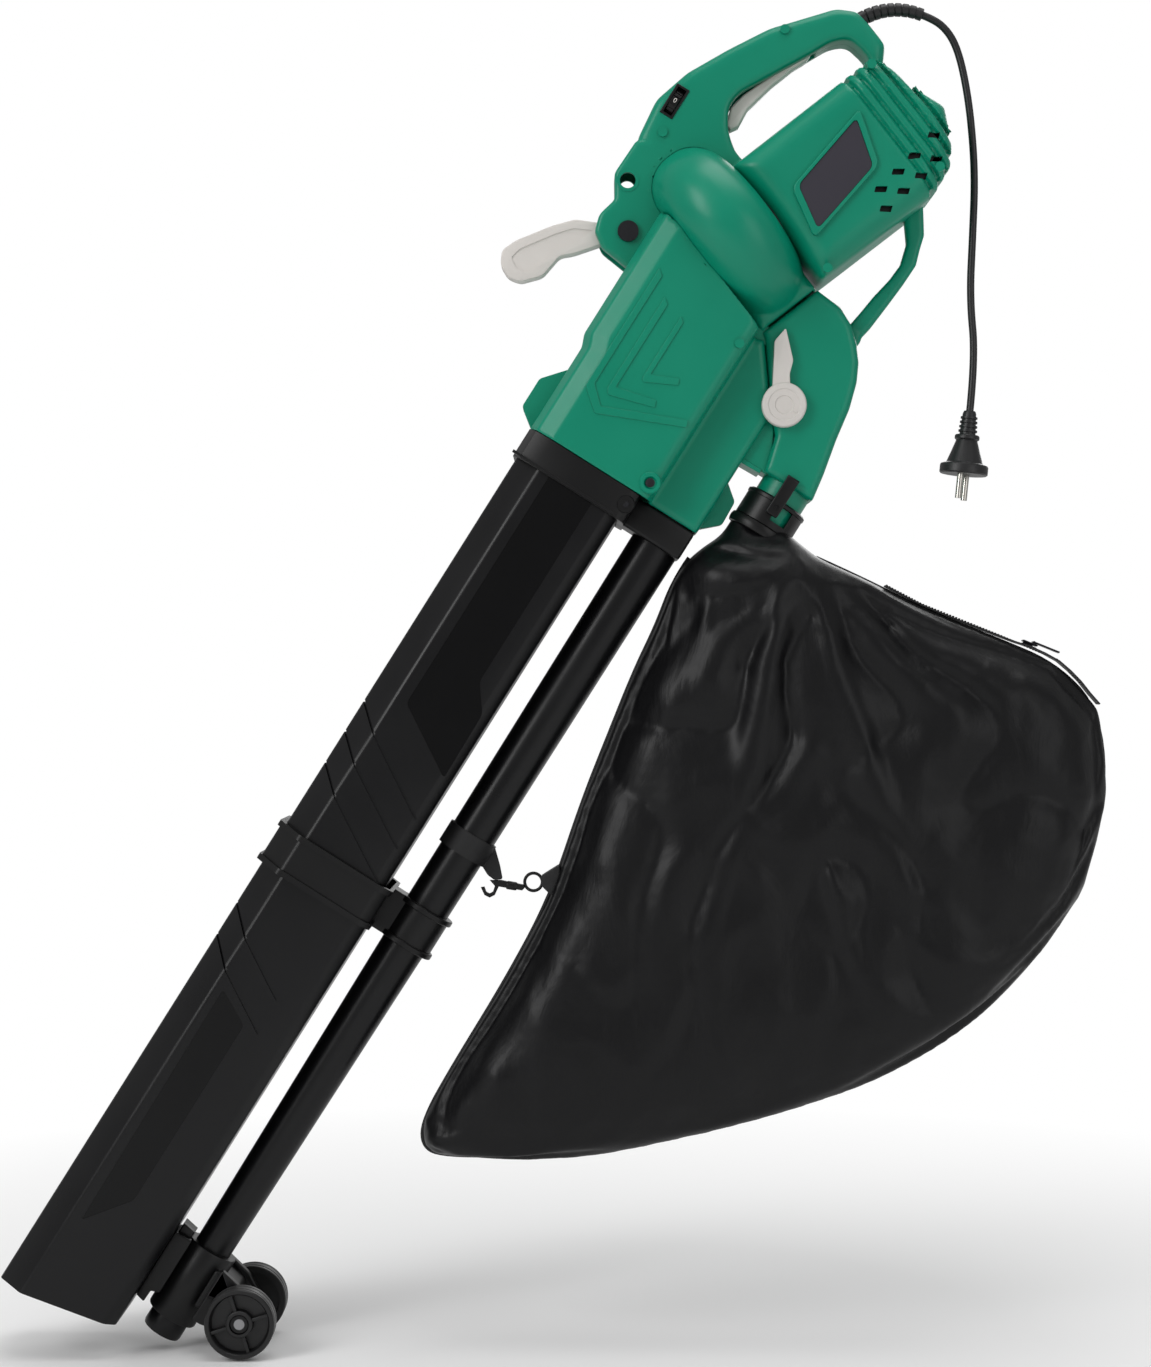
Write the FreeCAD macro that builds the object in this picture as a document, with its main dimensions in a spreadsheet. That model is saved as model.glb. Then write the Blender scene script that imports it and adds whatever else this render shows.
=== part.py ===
"""Corded leaf blower and garden vacuum with a collecting bag, as separate pieces.

Millimetres, +Z up, origin at the middle of the hand grip, by which the machine is carried.
The tubes lean back by "tilt" and the motor leans by "motor_lean" more. Pieces are drawn in
one of three frames that share the origin and turn about Y: the row frame, the machine frame
(Z up along the tubes) and the motor frame (Z up along the motor shaft).
"""
import FreeCAD, Part
import math
import os
import Sketcher
from FreeCAD import Placement, Rotation, Vector

# Driving dimensions: alias, value, meaning. Lengths in mm, angles in degrees.
SIZES = [
    ("tilt", 32.2, "lean of the tubes from upright"),
    ("motor_lean", 19.8, "further lean of the motor"),
    ("wall", 2.5, "moulded wall"),
    ("running_gap", 0.05, "radial gap of a shaft in its bore"),
    ("part_gap", 0.3, "gap between pieces that move past each other"),
    ("grip_half", 17.5, "half thickness of the grip and its web"),
    ("motor_half", 52, "half width of the motor housing"),
    ("motor_left", 50, "motor housing, grip side"),
    ("motor_right", 162, "motor housing, outlet side"),
    ("motor_top", 57, "motor housing, top of its hump"),
    ("case_x", 85.5, "centre of the fan case"),
    ("case_radius", 75.5, "fan case radius"),
    ("case_top", -98, "fan case, motor side"),
    ("case_bottom", -160, "fan case, inlet side"),
    ("rim_round", 30.9, "rounding of the fan case rim"),
    ("shaft_x", 95, "motor shaft, across the motor frame"),
    ("shaft_radius", 4, "motor shaft radius"),
    ("eye_radius", 32, "air inlet of the fan case"),
    ("impeller_radius", 50, "impeller radius"),
    ("blade_count", 9, "impeller blades"),
    ("stator_radius", 38, "stator outside radius"),
    ("armature_radius", 23, "armature radius"),
    ("bearing_radius", 11, "bearing outside radius"),
    ("neck_half", 24, "half width of the outlet, its elbow and the blower duct"),
    ("duct_left", -14, "duct, grip side"),
    ("duct_split", 96, "wall between the vacuum and blower ducts"),
    ("duct_right", 139, "blower duct, outlet side"),
    ("duct_bottom", -358, "lower end of the ducts"),
    ("duct_half", 50, "half width of the vacuum duct"),
    ("tube_left", -7.5, "vacuum tube, grip side"),
    ("tube_right", 82, "upper vacuum tube, outlet side"),
    ("tube_widen", 4, "how much wider the lower vacuum tube is"),
    ("tube_half", 45, "half width of the vacuum tube"),
    ("tube_wall", 2.2, "tube wall"),
    ("collar_height", 24, "height of the tube collar"),
    ("joint_level", -726, "joint between the upper and lower tubes"),
    ("clip_half_height", 17, "half height of the joint clip"),
    ("mouth_level", -1097, "mouth of the vacuum tube, outlet side"),
    ("mouth_drop", 20, "how much lower the mouth is on the grip side"),
    ("pipe_x", 117, "centre of the blower tube"),
    ("pipe_top_radius", 19.2, "blower tube radius at the collar"),
    ("pipe_joint_radius", 17.6, "blower tube radius at the joint"),
    ("pipe_end_radius", 14.5, "blower tube radius at the bracket"),
    ("pipe_end", -1075, "lower end of the blower tube"),
    ("nozzle_length", 18, "length of the nozzle ring"),
    ("bracket_top", -1018, "wheel bracket, top"),
    ("bracket_bottom", -1078, "wheel bracket, bottom"),
    ("axle_x", 164.5, "wheel axle, across the machine frame"),
    ("axle_level", -1045, "wheel axle, along the machine frame"),
    ("axle_radius", 4, "axle radius"),
    ("wheel_radius", 26.5, "wheel radius"),
    ("wheel_width", 17, "wheel width"),
    ("wheel_inner", 29, "inner face of a wheel from the middle"),
    ("spigot_x", 179, "centre of the bag spigot"),
    ("spigot_radius", 20, "bag spigot radius"),
    ("spigot_top", -290, "bag spigot, top"),
    ("spigot_length", 30, "length of the bag spigot"),
    ("collar_radius", 24, "bag collar radius"),
    ("knob_x", 143, "mode knob, across the machine frame"),
    ("knob_level", -240, "mode knob, along the machine frame"),
    ("knob_radius", 17, "mode knob radius"),
    ("knob_height", 7, "mode knob height"),
    ("flap_length", 42, "flap, from its shaft"),
    ("assist_x", -28, "assist handle pivot, across the machine frame"),
    ("assist_level", -190, "assist handle pivot, along the machine frame"),
    ("assist_half", 8, "half thickness of the assist handle hub"),
    ("eye_x", -49, "strap eye, across the machine frame"),
    ("eye_level", -157, "strap eye, along the machine frame"),
    ("eye_hole", 6, "strap eye radius"),
    ("eye_half", 9, "half thickness of the strap eye"),
    ("trigger_half", 7, "half width of the trigger"),
    ("dial_radius", 13, "speed dial radius"),
    ("bag_half", 58, "half thickness of the bag"),
    ("cloth", 1.5, "bag cloth and lining"),
    ("cord_radius", 2.9, "power cord radius"),
    ("relief_radius", 5.6, "strain relief radius"),
    ("relief_bend", 53, "bend of the strain relief"),
    ("pin_length", 19, "plug pin length"),
    ("pin_spacing", 19, "plug pin spacing"),
    ("pin_radius", 2.4, "plug pin radius"),
    ("screw_radius", 2, "case screw radius"),
]

document = FreeCAD.newDocument("leaf_blower")
sheet = document.addObject("Spreadsheet::Sheet", "Sizes")
for row, (alias, value, meaning) in enumerate(SIZES, start=1):
    sheet.set(f"A{row}", meaning)
    sheet.set(f"B{row}", str(value))
    sheet.setAlias(f"B{row}", alias)
document.recompute()


class Quantity:
    """A number together with the spreadsheet expression that gives it."""

    def __init__(self, value, text):
        self.value = float(value)
        self.text = text

    def __add__(self, other):
        other = quantity(other)
        return Quantity(self.value + other.value, f"({self.text} + {other.text})")

    def __sub__(self, other):
        other = quantity(other)
        return Quantity(self.value - other.value, f"({self.text} - {other.text})")

    def __mul__(self, other):
        other = quantity(other)
        return Quantity(self.value * other.value, f"{self.text} * {other.text}")

    def __truediv__(self, other):
        other = quantity(other)
        return Quantity(self.value / other.value, f"{self.text} / {other.text}")

    def __radd__(self, other):
        return quantity(other) + self

    def __rsub__(self, other):
        return quantity(other) - self

    def __rmul__(self, other):
        return quantity(other) * self

    def __neg__(self):
        return Quantity(-self.value, f"(-1 * {self.text})")


def quantity(number):
    """A plain number as a Quantity; a Quantity as it is."""
    if isinstance(number, Quantity):
        return number
    return Quantity(number, f"({number})")


class Dimensions:
    """The spreadsheet's cells as Quantities, by alias."""

    def __init__(self):
        for alias, value, _ in SIZES:
            setattr(self, alias, Quantity(value, f"Sizes.{alias}"))


d = Dimensions()


def cosine(angle):
    return Quantity(math.cos(math.radians(angle.value)), f"cos({angle.text} * 1 deg)")


def sine(angle):
    return Quantity(math.sin(math.radians(angle.value)), f"sin({angle.text} * 1 deg)")


ROW = quantity(0)
MACHINE = d.tilt
MOTOR = d.tilt + d.motor_lean


def turned(point, angle):
    """A point (x, z) after a turn about Y that leans +Z towards +X."""
    x, z = point
    return (x * cosine(angle) + z * sine(angle), z * cosine(angle) - x * sine(angle))


def to_motor(x, z):
    """A machine frame point in the motor frame."""
    return turned((quantity(x), quantity(z)), -d.motor_lean)


def from_motor(x, z):
    """A motor frame point in the machine frame."""
    return turned((quantity(x), quantity(z)), d.motor_lean)


def to_row(x, z):
    """A machine frame point in the row frame."""
    return turned((quantity(x), quantity(z)), d.tilt)


class Circle:
    def __init__(self, x, y, radius):
        self.x = quantity(x)
        self.y = quantity(y)
        self.radius = quantity(radius)


class RoundedRim:
    """Half section of a disc with a round rim: from the axis out to the rim and back."""

    def __init__(self, inner, outer, low, high, rounding):
        self.inner = quantity(inner)
        self.shoulder = outer - rounding
        self.low = quantity(low)
        self.high = quantity(high)


def pin_down(sketch, geometry, position, x, y):
    """Fixes one sketch point at two distances from the sketch's origin."""
    for kind, value in (("DistanceX", x), ("DistanceY", y)):
        index = sketch.addConstraint(Sketcher.Constraint(kind, -1, 1, geometry, position, value.value))
        if "Sizes." in value.text:
            sketch.setExpression(f"Constraints[{index}]", value.text)


def draw_polygon(sketch, points):
    points = [(quantity(x), quantity(y)) for x, y in points]
    first = sketch.GeometryCount
    count = len(points)
    for number, (x, y) in enumerate(points):
        next_x, next_y = points[(number + 1) % count]
        start = Vector(x.value, y.value, 0)
        end = Vector(next_x.value, next_y.value, 0)
        sketch.addGeometry(Part.LineSegment(start, end))
    for number, (x, y) in enumerate(points):
        after = first + (number + 1) % count
        sketch.addConstraint(Sketcher.Constraint("Coincident", first + number, 2, after, 1))
        pin_down(sketch, first + number, 1, x, y)


def draw_circle(sketch, circle):
    centre = Vector(circle.x.value, circle.y.value, 0)
    index = sketch.addGeometry(Part.Circle(centre, Vector(0, 0, 1), circle.radius.value))
    constraint = sketch.addConstraint(Sketcher.Constraint("Radius", index, circle.radius.value))
    if "Sizes." in circle.radius.text:
        sketch.setExpression(f"Constraints[{constraint}]", circle.radius.text)
    pin_down(sketch, index, 3, circle.x, circle.y)


def draw_rim(sketch, rim):
    inner, shoulder = rim.inner.value, rim.shoulder.value
    low, high = rim.low.value, rim.high.value
    centre = Vector(shoulder, (low + high) / 2, 0)
    arc = Part.Circle(centre, Vector(0, 0, 1), (high - low) / 2)
    sketch.addGeometry(Part.LineSegment(Vector(inner, low, 0), Vector(shoulder, low, 0)))
    sketch.addGeometry(Part.ArcOfCircle(arc, -math.pi / 2, math.pi / 2))
    sketch.addGeometry(Part.LineSegment(Vector(shoulder, high, 0), Vector(inner, high, 0)))
    sketch.addGeometry(Part.LineSegment(Vector(inner, high, 0), Vector(inner, low, 0)))
    for line in range(4):
        sketch.addConstraint(Sketcher.Constraint("Coincident", line, 2, (line + 1) % 4, 1))
    pin_down(sketch, 0, 1, rim.inner, rim.low)
    pin_down(sketch, 0, 2, rim.shoulder, rim.low)
    pin_down(sketch, 2, 1, rim.shoulder, rim.high)
    pin_down(sketch, 2, 2, rim.inner, rim.high)
    index = sketch.addConstraint(Sketcher.Constraint("DistanceX", -1, 1, 1, 3, shoulder))
    sketch.setExpression(f"Constraints[{index}]", rim.shoulder.text)


class Piece:
    """One node: a PartDesign body drawn in one of the frames."""

    def __init__(self, name, frame=ROW, at=(0, 0, 0), lean=None, solids=1):
        self.body = document.addObject("PartDesign::Body", name)
        self.body.Label = name
        self.body.AllowCompound = solids > 1
        self.name = name
        x, z = turned((quantity(at[0]), quantity(at[2])), frame)
        angle = frame if lean is None else frame + lean
        place = Placement(Vector(x.value, quantity(at[1]).value, z.value),
                          Rotation(Vector(0, 1, 0), angle.value))
        self.body.Placement = place
        self.body.setExpression("Placement.Rotation.Angle", f"{angle.text} * 1 deg")
        self.body.setExpression("Placement.Base.x", x.text)
        self.body.setExpression("Placement.Base.y", quantity(at[1]).text)
        self.body.setExpression("Placement.Base.z", z.text)
        PIECES[name] = self.body

    def sketch(self, plane, level, outlines, axis_x=0):
        """Closed outlines on an origin plane moved along its normal by level."""
        sketch = self.body.newObject("Sketcher::SketchObject", f"{self.name}_sketch")
        features = self.body.Origin.OriginFeatures
        support = next(feature for feature in features if feature.Role == plane)
        sketch.AttachmentSupport = [(support, "")]
        sketch.MapMode = "FlatFace"
        sketch.setExpression("AttachmentOffset.Base.z", quantity(level).text)
        sketch.setExpression("AttachmentOffset.Base.x", quantity(axis_x).text)
        for outline in outlines:
            if isinstance(outline, Circle):
                draw_circle(sketch, outline)
            elif isinstance(outline, RoundedRim):
                draw_rim(sketch, outline)
            else:
                draw_polygon(sketch, outline)
        return sketch

    def extrude(self, kind, plane, outlines, low, high):
        low, high = quantity(low), quantity(high)
        facing_back = plane == "XZ_Plane"
        from_high = (kind == "Pad") == facing_back
        level = high if from_high else low
        sketch = self.sketch(plane, -level if facing_back else level, outlines)
        feature = self.body.newObject(f"PartDesign::{kind}", f"{self.name}_{kind.lower()}")
        feature.Profile = sketch
        feature.setExpression("Length", (high - low).text)
        return feature

    def pad(self, plane, outlines, low, high):
        return self.extrude("Pad", plane, outlines, low, high)

    def pocket(self, plane, outlines, low, high):
        return self.extrude("Pocket", plane, outlines, low, high)

    def spin(self, kind, outlines, axis_x=0, angle=360, reverse=False):
        """Revolution or Groove of XZ outlines about the upright line at axis_x."""
        sketch = self.sketch("XZ_Plane", 0, outlines, axis_x)
        feature = self.body.newObject(f"PartDesign::{kind}", f"{self.name}_{kind.lower()}")
        feature.Profile = sketch
        feature.ReferenceAxis = (sketch, ["V_Axis"])
        feature.Angle = angle
        feature.Reversed = reverse
        return feature

    def repeat(self, feature, role, count):
        """Repeats a feature around one of the body's own origin axes."""
        pattern = self.body.newObject("PartDesign::PolarPattern", f"{self.name}_pattern")
        pattern.Originals = [feature]
        features = self.body.Origin.OriginFeatures
        pattern.Axis = (next(axis for axis in features if axis.Role == role), [""])
        pattern.Angle = 360
        pattern.setExpression("Occurrences", quantity(count).text)
        self.body.Tip = pattern
        return pattern


PIECES = {}
NEAR, FAR = -1, 1


def depth(side, inner, outer):
    """A range of Y measured outwards from the parting plane on one side."""
    inner, outer = quantity(inner), quantity(outer)
    if side == NEAR:
        return -outer, -inner
    return inner, outer


def box(left, low, right, high):
    return [(left, low), (right, low), (right, high), (left, high)]


def tube_section(left, right, half, grow=0):
    """Section of the vacuum tube: wide chamfers on the grip side, small ones opposite."""
    wide, small = 20, 8
    left, right, half = left - grow, right + grow, half + grow
    return [(left, wide - half), (left + wide, -half), (right - small, -half), (right, small - half),
            (right, half - small), (right - small, half), (left + wide, half), (left, half - wide)]


# ---------------------------------------------------------------- handle and motor housing
GRIP_OUTLINE = [(-60, -127), (-64, -92), (-55, -62), (-20, 0), (15, 40), (30, 47), (45, 43),
                (62, 37), (90, -20), (40, -135)]
FINGER_OPENING = [(-13, -55), (-14, -68), (-5, -83), (8, -94), (22, -98), (27, -92), (55, 0),
                  (61, 12), (59, 20), (48, 23), (36, 25), (26, 16), (18, 0)]
GRIP_CHANNEL = [(-56, -122), (-60.5, -92.5), (-52, -63.5), (-17.5, -2), (17, 37), (30, 43.5),
                (60, 33), (60, 26), (35, 29), (23, 19), (14.5, 2), (-16.5, -54), (-17.5, -69.5),
                (-7.5, -86.5), (-20, -92), (-40, -112)]
TRIGGER_SLOT = [(4, 4), (26, 5), (14, -40), (6, -60), (6, -80), (-3, -86), (-14, -84),
                (-20, -68), (-14, -48)]
TRIGGER_PIVOT = (13, -2)
DIAL_CENTRE = (-50.7, -87)
GRIP_SCREWS = [(-9, 4), (-46, -112)]
screw_boss_radius = 4.5


def motor_points(points):
    return [to_motor(x, z) for x, z in points]


def motor_screws():
    inset = 6
    return [(d.motor_right - 14, d.motor_top - 36), (d.motor_right - inset, d.case_top + inset),
            (d.motor_left + inset, d.motor_top - 29)]


def motor_outline(wall):
    """The motor housing's side outline with its humped top, drawn in by a wall."""
    left, right = d.motor_left + wall, d.motor_right - wall
    return [(left, d.case_top), (right, d.case_top), (right, d.motor_top - 46),
            (right - 9 + wall * 0.3, d.motor_top - 24 - wall * 0.6),
            (right - 22 + wall * 0.3, d.motor_top - 13 - wall),
            (right - 49 + wall * 0.6, d.motor_top - wall * 1.2),
            (left + 42, d.motor_top - 9 - wall * 1.2), (left + 16, d.motor_top - 15 - wall),
            (left, d.motor_top - 21 - wall)]


def screw_bosses(piece, side, places, half):
    """Bosses from the parting plane to the wall, each with a hole for a case screw."""
    for x, z in places:
        piece.pad("XZ_Plane", [Circle(x, z, screw_boss_radius)], *depth(side, 0, half - 1))
        reach = half if side == NEAR else 12
        piece.pocket("XZ_Plane", [Circle(x, z, d.screw_radius)], *depth(side, 0, reach))


def build_housing(name, side):
    """One half of the clamshell that is the hand grip, the web and the motor cover."""
    piece = Piece(name, MOTOR)
    web = [(-60, -127), (-61, -157), (-50, -174), (-54, -190), (-50, -203), (-38, -211),
           (d.duct_left, -216), (d.duct_left, -150), (-5, -110)]
    piece.pad("XZ_Plane", [motor_points(GRIP_OUTLINE), motor_points(FINGER_OPENING)],
              *depth(side, 0, d.grip_half))
    piece.pad("XZ_Plane", [motor_points(web)], *depth(side, 0, d.grip_half))
    piece.pad("XZ_Plane", [motor_outline(0)], *depth(side, 0, d.motor_half))
    piece.pocket("XZ_Plane", [motor_outline(d.wall)], *depth(side, 0, d.motor_half - d.wall))
    piece.pocket("XZ_Plane", [motor_points(GRIP_CHANNEL)], *depth(side, 0, d.grip_half - d.wall))
    piece.pocket("XZ_Plane", [motor_points(TRIGGER_SLOT)], *depth(side, 0, d.trigger_half + 0.5))
    envelope = RoundedRim(0, d.case_radius, d.case_bottom, d.case_top, d.rim_round)
    piece.spin("Groove", [envelope], d.case_x)
    pivot_x, pivot_z = to_motor(*TRIGGER_PIVOT)
    piece.pad("XZ_Plane", [Circle(pivot_x, pivot_z, 4.5)],
              *depth(side, d.trigger_half + 0.5, d.grip_half))
    piece.pocket("XZ_Plane", [Circle(pivot_x, pivot_z, 2)], *depth(side, 0, 12))
    assist = to_motor(d.assist_x, d.assist_level)
    piece.pocket("XZ_Plane", [Circle(*assist, 31)], *depth(side, 0, d.assist_half + d.part_gap))
    piece.pocket("XZ_Plane", [Circle(*assist, d.axle_radius)], *depth(side, 0, d.grip_half))
    eye = to_motor(d.eye_x, d.eye_level)
    piece.pocket("XZ_Plane", [Circle(*eye, 15)], *depth(side, d.eye_half, d.grip_half))
    piece.pocket("XZ_Plane", [Circle(*eye, d.eye_hole)], *depth(side, 0, d.eye_half))
    notch = [(36, 31), (44.3, 47), (32, 53.2), (23.7, 37.2)]
    piece.pocket("XZ_Plane", [motor_points(notch)], *depth(side, 0, d.relief_radius + 0.2))
    screw_bosses(piece, side, [to_motor(x, z) for x, z in GRIP_SCREWS], d.grip_half)
    screw_bosses(piece, side, motor_screws(), d.motor_half)
    if side == NEAR:
        window = [(-54.7, -98.5), (-46.7, -98.5), (-46.7, -75.5), (-54.7, -75.5)]
        piece.pocket("XZ_Plane", [motor_points(window)],
                     *depth(side, d.grip_half - d.wall, d.grip_half))


build_housing("housing_left", NEAR)
build_housing("housing_right", FAR)

# ---------------------------------------------------------------- fan case
outlet_low = d.case_bottom + 4.5
outlet_high = d.case_top - 4.5
outlet_face = d.motor_right


def build_fan_case(name, side):
    """Half of the round case that the impeller turns in, with half of its outlet neck."""
    piece = Piece(name, MOTOR)
    outer = RoundedRim(0, d.case_radius, d.case_bottom, d.case_top, d.rim_round)
    inner = RoundedRim(0, d.case_radius - d.wall, d.case_bottom + d.wall, d.case_top - d.wall,
                       d.rim_round - d.wall)
    piece.spin("Revolution", [outer], d.case_x, 180, side == NEAR)
    piece.spin("Groove", [inner], d.case_x)
    neck_start = d.case_x + d.case_radius - 7
    piece.pad("XZ_Plane", [box(neck_start, outlet_low, outlet_face, outlet_high)],
              *depth(side, d.neck_half - d.wall, d.neck_half))
    for low, high in ((outlet_low, outlet_low + d.wall), (outlet_high - d.wall, outlet_high)):
        piece.pad("XZ_Plane", [box(neck_start - 18, low, outlet_face, high)],
                  *depth(side, 0, d.neck_half))
    piece.pocket("XZ_Plane", [box(neck_start - 20, outlet_low + d.wall, outlet_face + 1,
                                  outlet_high - d.wall)], *depth(side, 0, d.neck_half - d.wall))
    piece.pocket("XY_Plane", [Circle(d.shaft_x, 0, d.eye_radius)],
                 d.case_bottom - 1, d.case_bottom + d.wall)
    piece.pocket("XY_Plane", [Circle(d.shaft_x, 0, d.bearing_radius + 5)],
                 d.case_top - d.wall, d.case_top + 1)


build_fan_case("fan_case_left", NEAR)
build_fan_case("fan_case_right", FAR)


# ---------------------------------------------------------------- motor
def motor_piece(name, profile):
    """A piece turned about the motor shaft's axis: profile points are (radius, height)."""
    piece = Piece(name, MOTOR, at=(d.shaft_x, 0, 0))
    piece.spin("Revolution", [profile])
    return piece


shaft_end = d.case_bottom + 8
impeller_top = d.case_top - 8
mount_floor = 5
lower_bearing_low = d.case_top - 0.5
bearing_height = 9
stator_low, stator_high = -62, -14
upper_bearing_low = 6

motor_piece("motor_shaft", box(0, shaft_end, d.shaft_radius, 30))
for name, low in (("lower_bearing", lower_bearing_low), ("upper_bearing", upper_bearing_low)):
    motor_piece(name, box(d.shaft_radius + d.running_gap, low, d.bearing_radius, low + bearing_height))
motor_piece("motor_mount", [
    (d.bearing_radius, lower_bearing_low + bearing_height), (d.bearing_radius, d.case_top),
    (41, d.case_top), (41, stator_low + 12), (d.stator_radius, stator_low + 12),
    (d.stator_radius, d.case_top + mount_floor), (d.bearing_radius + 4, d.case_top + mount_floor),
    (d.bearing_radius + 4, lower_bearing_low + bearing_height)])
motor_piece("stator_core", box(29, stator_low, d.stator_radius, stator_high))
motor_piece("armature_core", box(d.shaft_radius, stator_low, d.armature_radius, stator_high))
windings = Piece("armature_windings", MOTOR, at=(d.shaft_x, 0, 0), solids=2)
windings.spin("Revolution", [box(d.shaft_radius, stator_low - 10, 19, stator_low),
                             box(d.shaft_radius, stator_high, 19, stator_high + 6)])
motor_piece("commutator", box(d.shaft_radius, stator_high + 6, 13, upper_bearing_low - 2))
motor_piece("cooling_fan", [
    (d.shaft_radius, d.case_top + 12), (30, d.case_top + 12), (30, d.case_top + 20),
    (28, d.case_top + 20), (28, d.case_top + 14), (d.shaft_radius, d.case_top + 14)])
bracket_low = upper_bearing_low - 1
motor_piece("end_bracket", [
    (d.bearing_radius, bracket_low), (d.bearing_radius, upper_bearing_low + bearing_height),
    (d.bearing_radius + 4, upper_bearing_low + bearing_height), (d.bearing_radius + 4, bracket_low + 4),
    (d.stator_radius, bracket_low + 4), (d.stator_radius, stator_high), (d.stator_radius - 3, stator_high),
    (d.stator_radius - 3, bracket_low)])

coils = Piece("field_coils", MOTOR, at=(d.shaft_x, 0, 0), solids=2)
coils.spin("Revolution", [box(25, stator_low + 2, 29, stator_high - 2)])
coils.pocket("XZ_Plane", [box(-14, stator_low, 14, stator_high)], -40, 40)

brushes = Piece("carbon_brushes", MOTOR, at=(d.shaft_x, 0, 0), solids=2)
holders = Piece("brush_holders", MOTOR, at=(d.shaft_x, 0, 0), solids=2)
for side in (-1, 1):
    near_edge, far_edge = sorted((side * 13.2, side * 24))
    brushes.pad("XZ_Plane", [box(near_edge, -6, far_edge, 2)], -3, 3)
    near_edge, far_edge = sorted((side * 16, side * 34.5))
    holders.pad("XZ_Plane", [box(near_edge, -8, far_edge, 4)], -5, 5)
    near_edge, far_edge = sorted((side * 15, side * 24))
    holders.pocket("XZ_Plane", [box(near_edge, -6, far_edge, 2)], -3, 3)

impeller = motor_piece("impeller", [
    (d.shaft_radius, impeller_top - 38), (12, impeller_top - 38), (14, impeller_top - 2.5),
    (d.impeller_radius, impeller_top - 2.5), (d.impeller_radius, impeller_top),
    (d.shaft_radius, impeller_top)])
blade = impeller.pad("XZ_Plane", [[
    (11, impeller_top - 1), (11, impeller_top - 36), (d.eye_radius, impeller_top - 36),
    (d.impeller_radius, impeller_top - 28), (d.impeller_radius, impeller_top - 1)]], -1.2, 1.2)
impeller.repeat(blade, "Z_Axis", d.blade_count)
motor_piece("impeller_nut", box(d.shaft_radius, impeller_top - 43, 8, impeller_top - 38))

# ---------------------------------------------------------------- ducts below the fan case
WINDOW_TOP = (104, -204)
WINDOW_BOTTOM = (d.duct_right, -250)
DUCT_SCREWS = [(90, -346), (90, -222)]
eye_line_left = from_motor(d.case_x - 42.7, d.case_bottom)
eye_line_right = from_motor(159.6, d.case_bottom)


def build_duct(name, side):
    """Half of the moulding that carries the vacuum duct and the blower duct side by side."""
    piece = Piece(name, MACHINE)
    outline = [(d.duct_left, -165), eye_line_left, (d.duct_split, eye_line_right[1]),
               (d.duct_split, d.duct_bottom), (d.duct_left + 4, d.duct_bottom),
               (d.duct_left + 4, -285), (d.duct_left, -275)]
    piece.pad("XZ_Plane", [outline], *depth(side, 0, d.duct_half))
    blower = [(d.duct_split - 1, -206), WINDOW_TOP, WINDOW_BOTTOM,
              (d.duct_right, d.duct_bottom), (d.duct_split - 1, d.duct_bottom)]
    piece.pad("XZ_Plane", [blower], *depth(side, 0, d.neck_half))
    left, right = d.duct_left + d.wall, d.duct_split - d.wall
    vacuum_inside = [(left, -140), (right, -180), (right, -300), (d.tube_right - 2, -320),
                     (d.tube_right - 2, d.duct_bottom - 2), (d.tube_left, d.duct_bottom - 2),
                     (d.tube_left, -286), (left, -276)]
    piece.pocket("XZ_Plane", [vacuum_inside], *depth(side, 0, d.duct_half - d.wall))
    left, right = d.duct_split + d.wall, d.duct_right - d.wall
    blower_inside = [(left, -209), (WINDOW_TOP[0], -198), (right, -243),
                     (right, d.duct_bottom - 2), (left, d.duct_bottom - 2)]
    piece.pocket("XZ_Plane", [blower_inside], *depth(side, 0, d.neck_half - d.wall))
    screw_bosses(piece, side, DUCT_SCREWS, d.duct_half)


build_duct("duct_left", NEAR)
build_duct("duct_right", FAR)

elbow = Piece("outlet_elbow", MACHINE)
mouth_high = from_motor(outlet_face, outlet_high)
mouth_low = from_motor(outlet_face, outlet_low)
spigot_left = d.spigot_x - d.spigot_radius - 1.5
spigot_right = d.spigot_x + d.spigot_radius + 1.5
elbow.pad("XZ_Plane", [[
    mouth_high, (140, -153), (165, -170), (181, -195), (190, -240), (spigot_right, d.spigot_top),
    (spigot_left, d.spigot_top), (150, -262), WINDOW_BOTTOM, WINDOW_TOP, mouth_low]],
    -d.neck_half, d.neck_half)
elbow.pocket("XZ_Plane", [[
    from_motor(outlet_face + 3, outlet_high - d.wall), (139, -155.8), (163, -172),
    (178.5, -196), (187.4, -240.4), (spigot_right - d.wall, d.spigot_top + d.wall),
    (spigot_left + d.wall, d.spigot_top + d.wall), (152.5, -261), (141, -248.3), (106, -202.3),
    from_motor(outlet_face + 3, outlet_low + d.wall), from_motor(outlet_face - 3, outlet_low + d.wall),
    from_motor(outlet_face - 3, outlet_high - d.wall)]],
    d.wall - d.neck_half, d.neck_half - d.wall)
elbow.pocket("XZ_Plane", [[(103.5, -211.6), (111.5, -205.6), (137, -239.5), (129, -245.5)]],
             d.wall - d.neck_half, d.neck_half - d.wall)
elbow.pad("XY_Plane", [Circle(d.spigot_x, 0, d.spigot_radius)],
          d.spigot_top - d.spigot_length, d.spigot_top)
elbow.pocket("XY_Plane", [Circle(d.spigot_x, 0, d.spigot_radius - d.wall)],
             d.spigot_top - d.spigot_length - 1, d.spigot_top + d.wall + 1)
elbow.pocket("XZ_Plane", [Circle(d.knob_x, d.knob_level, d.shaft_radius + d.running_gap)],
             -d.neck_half, d.neck_half)

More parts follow.
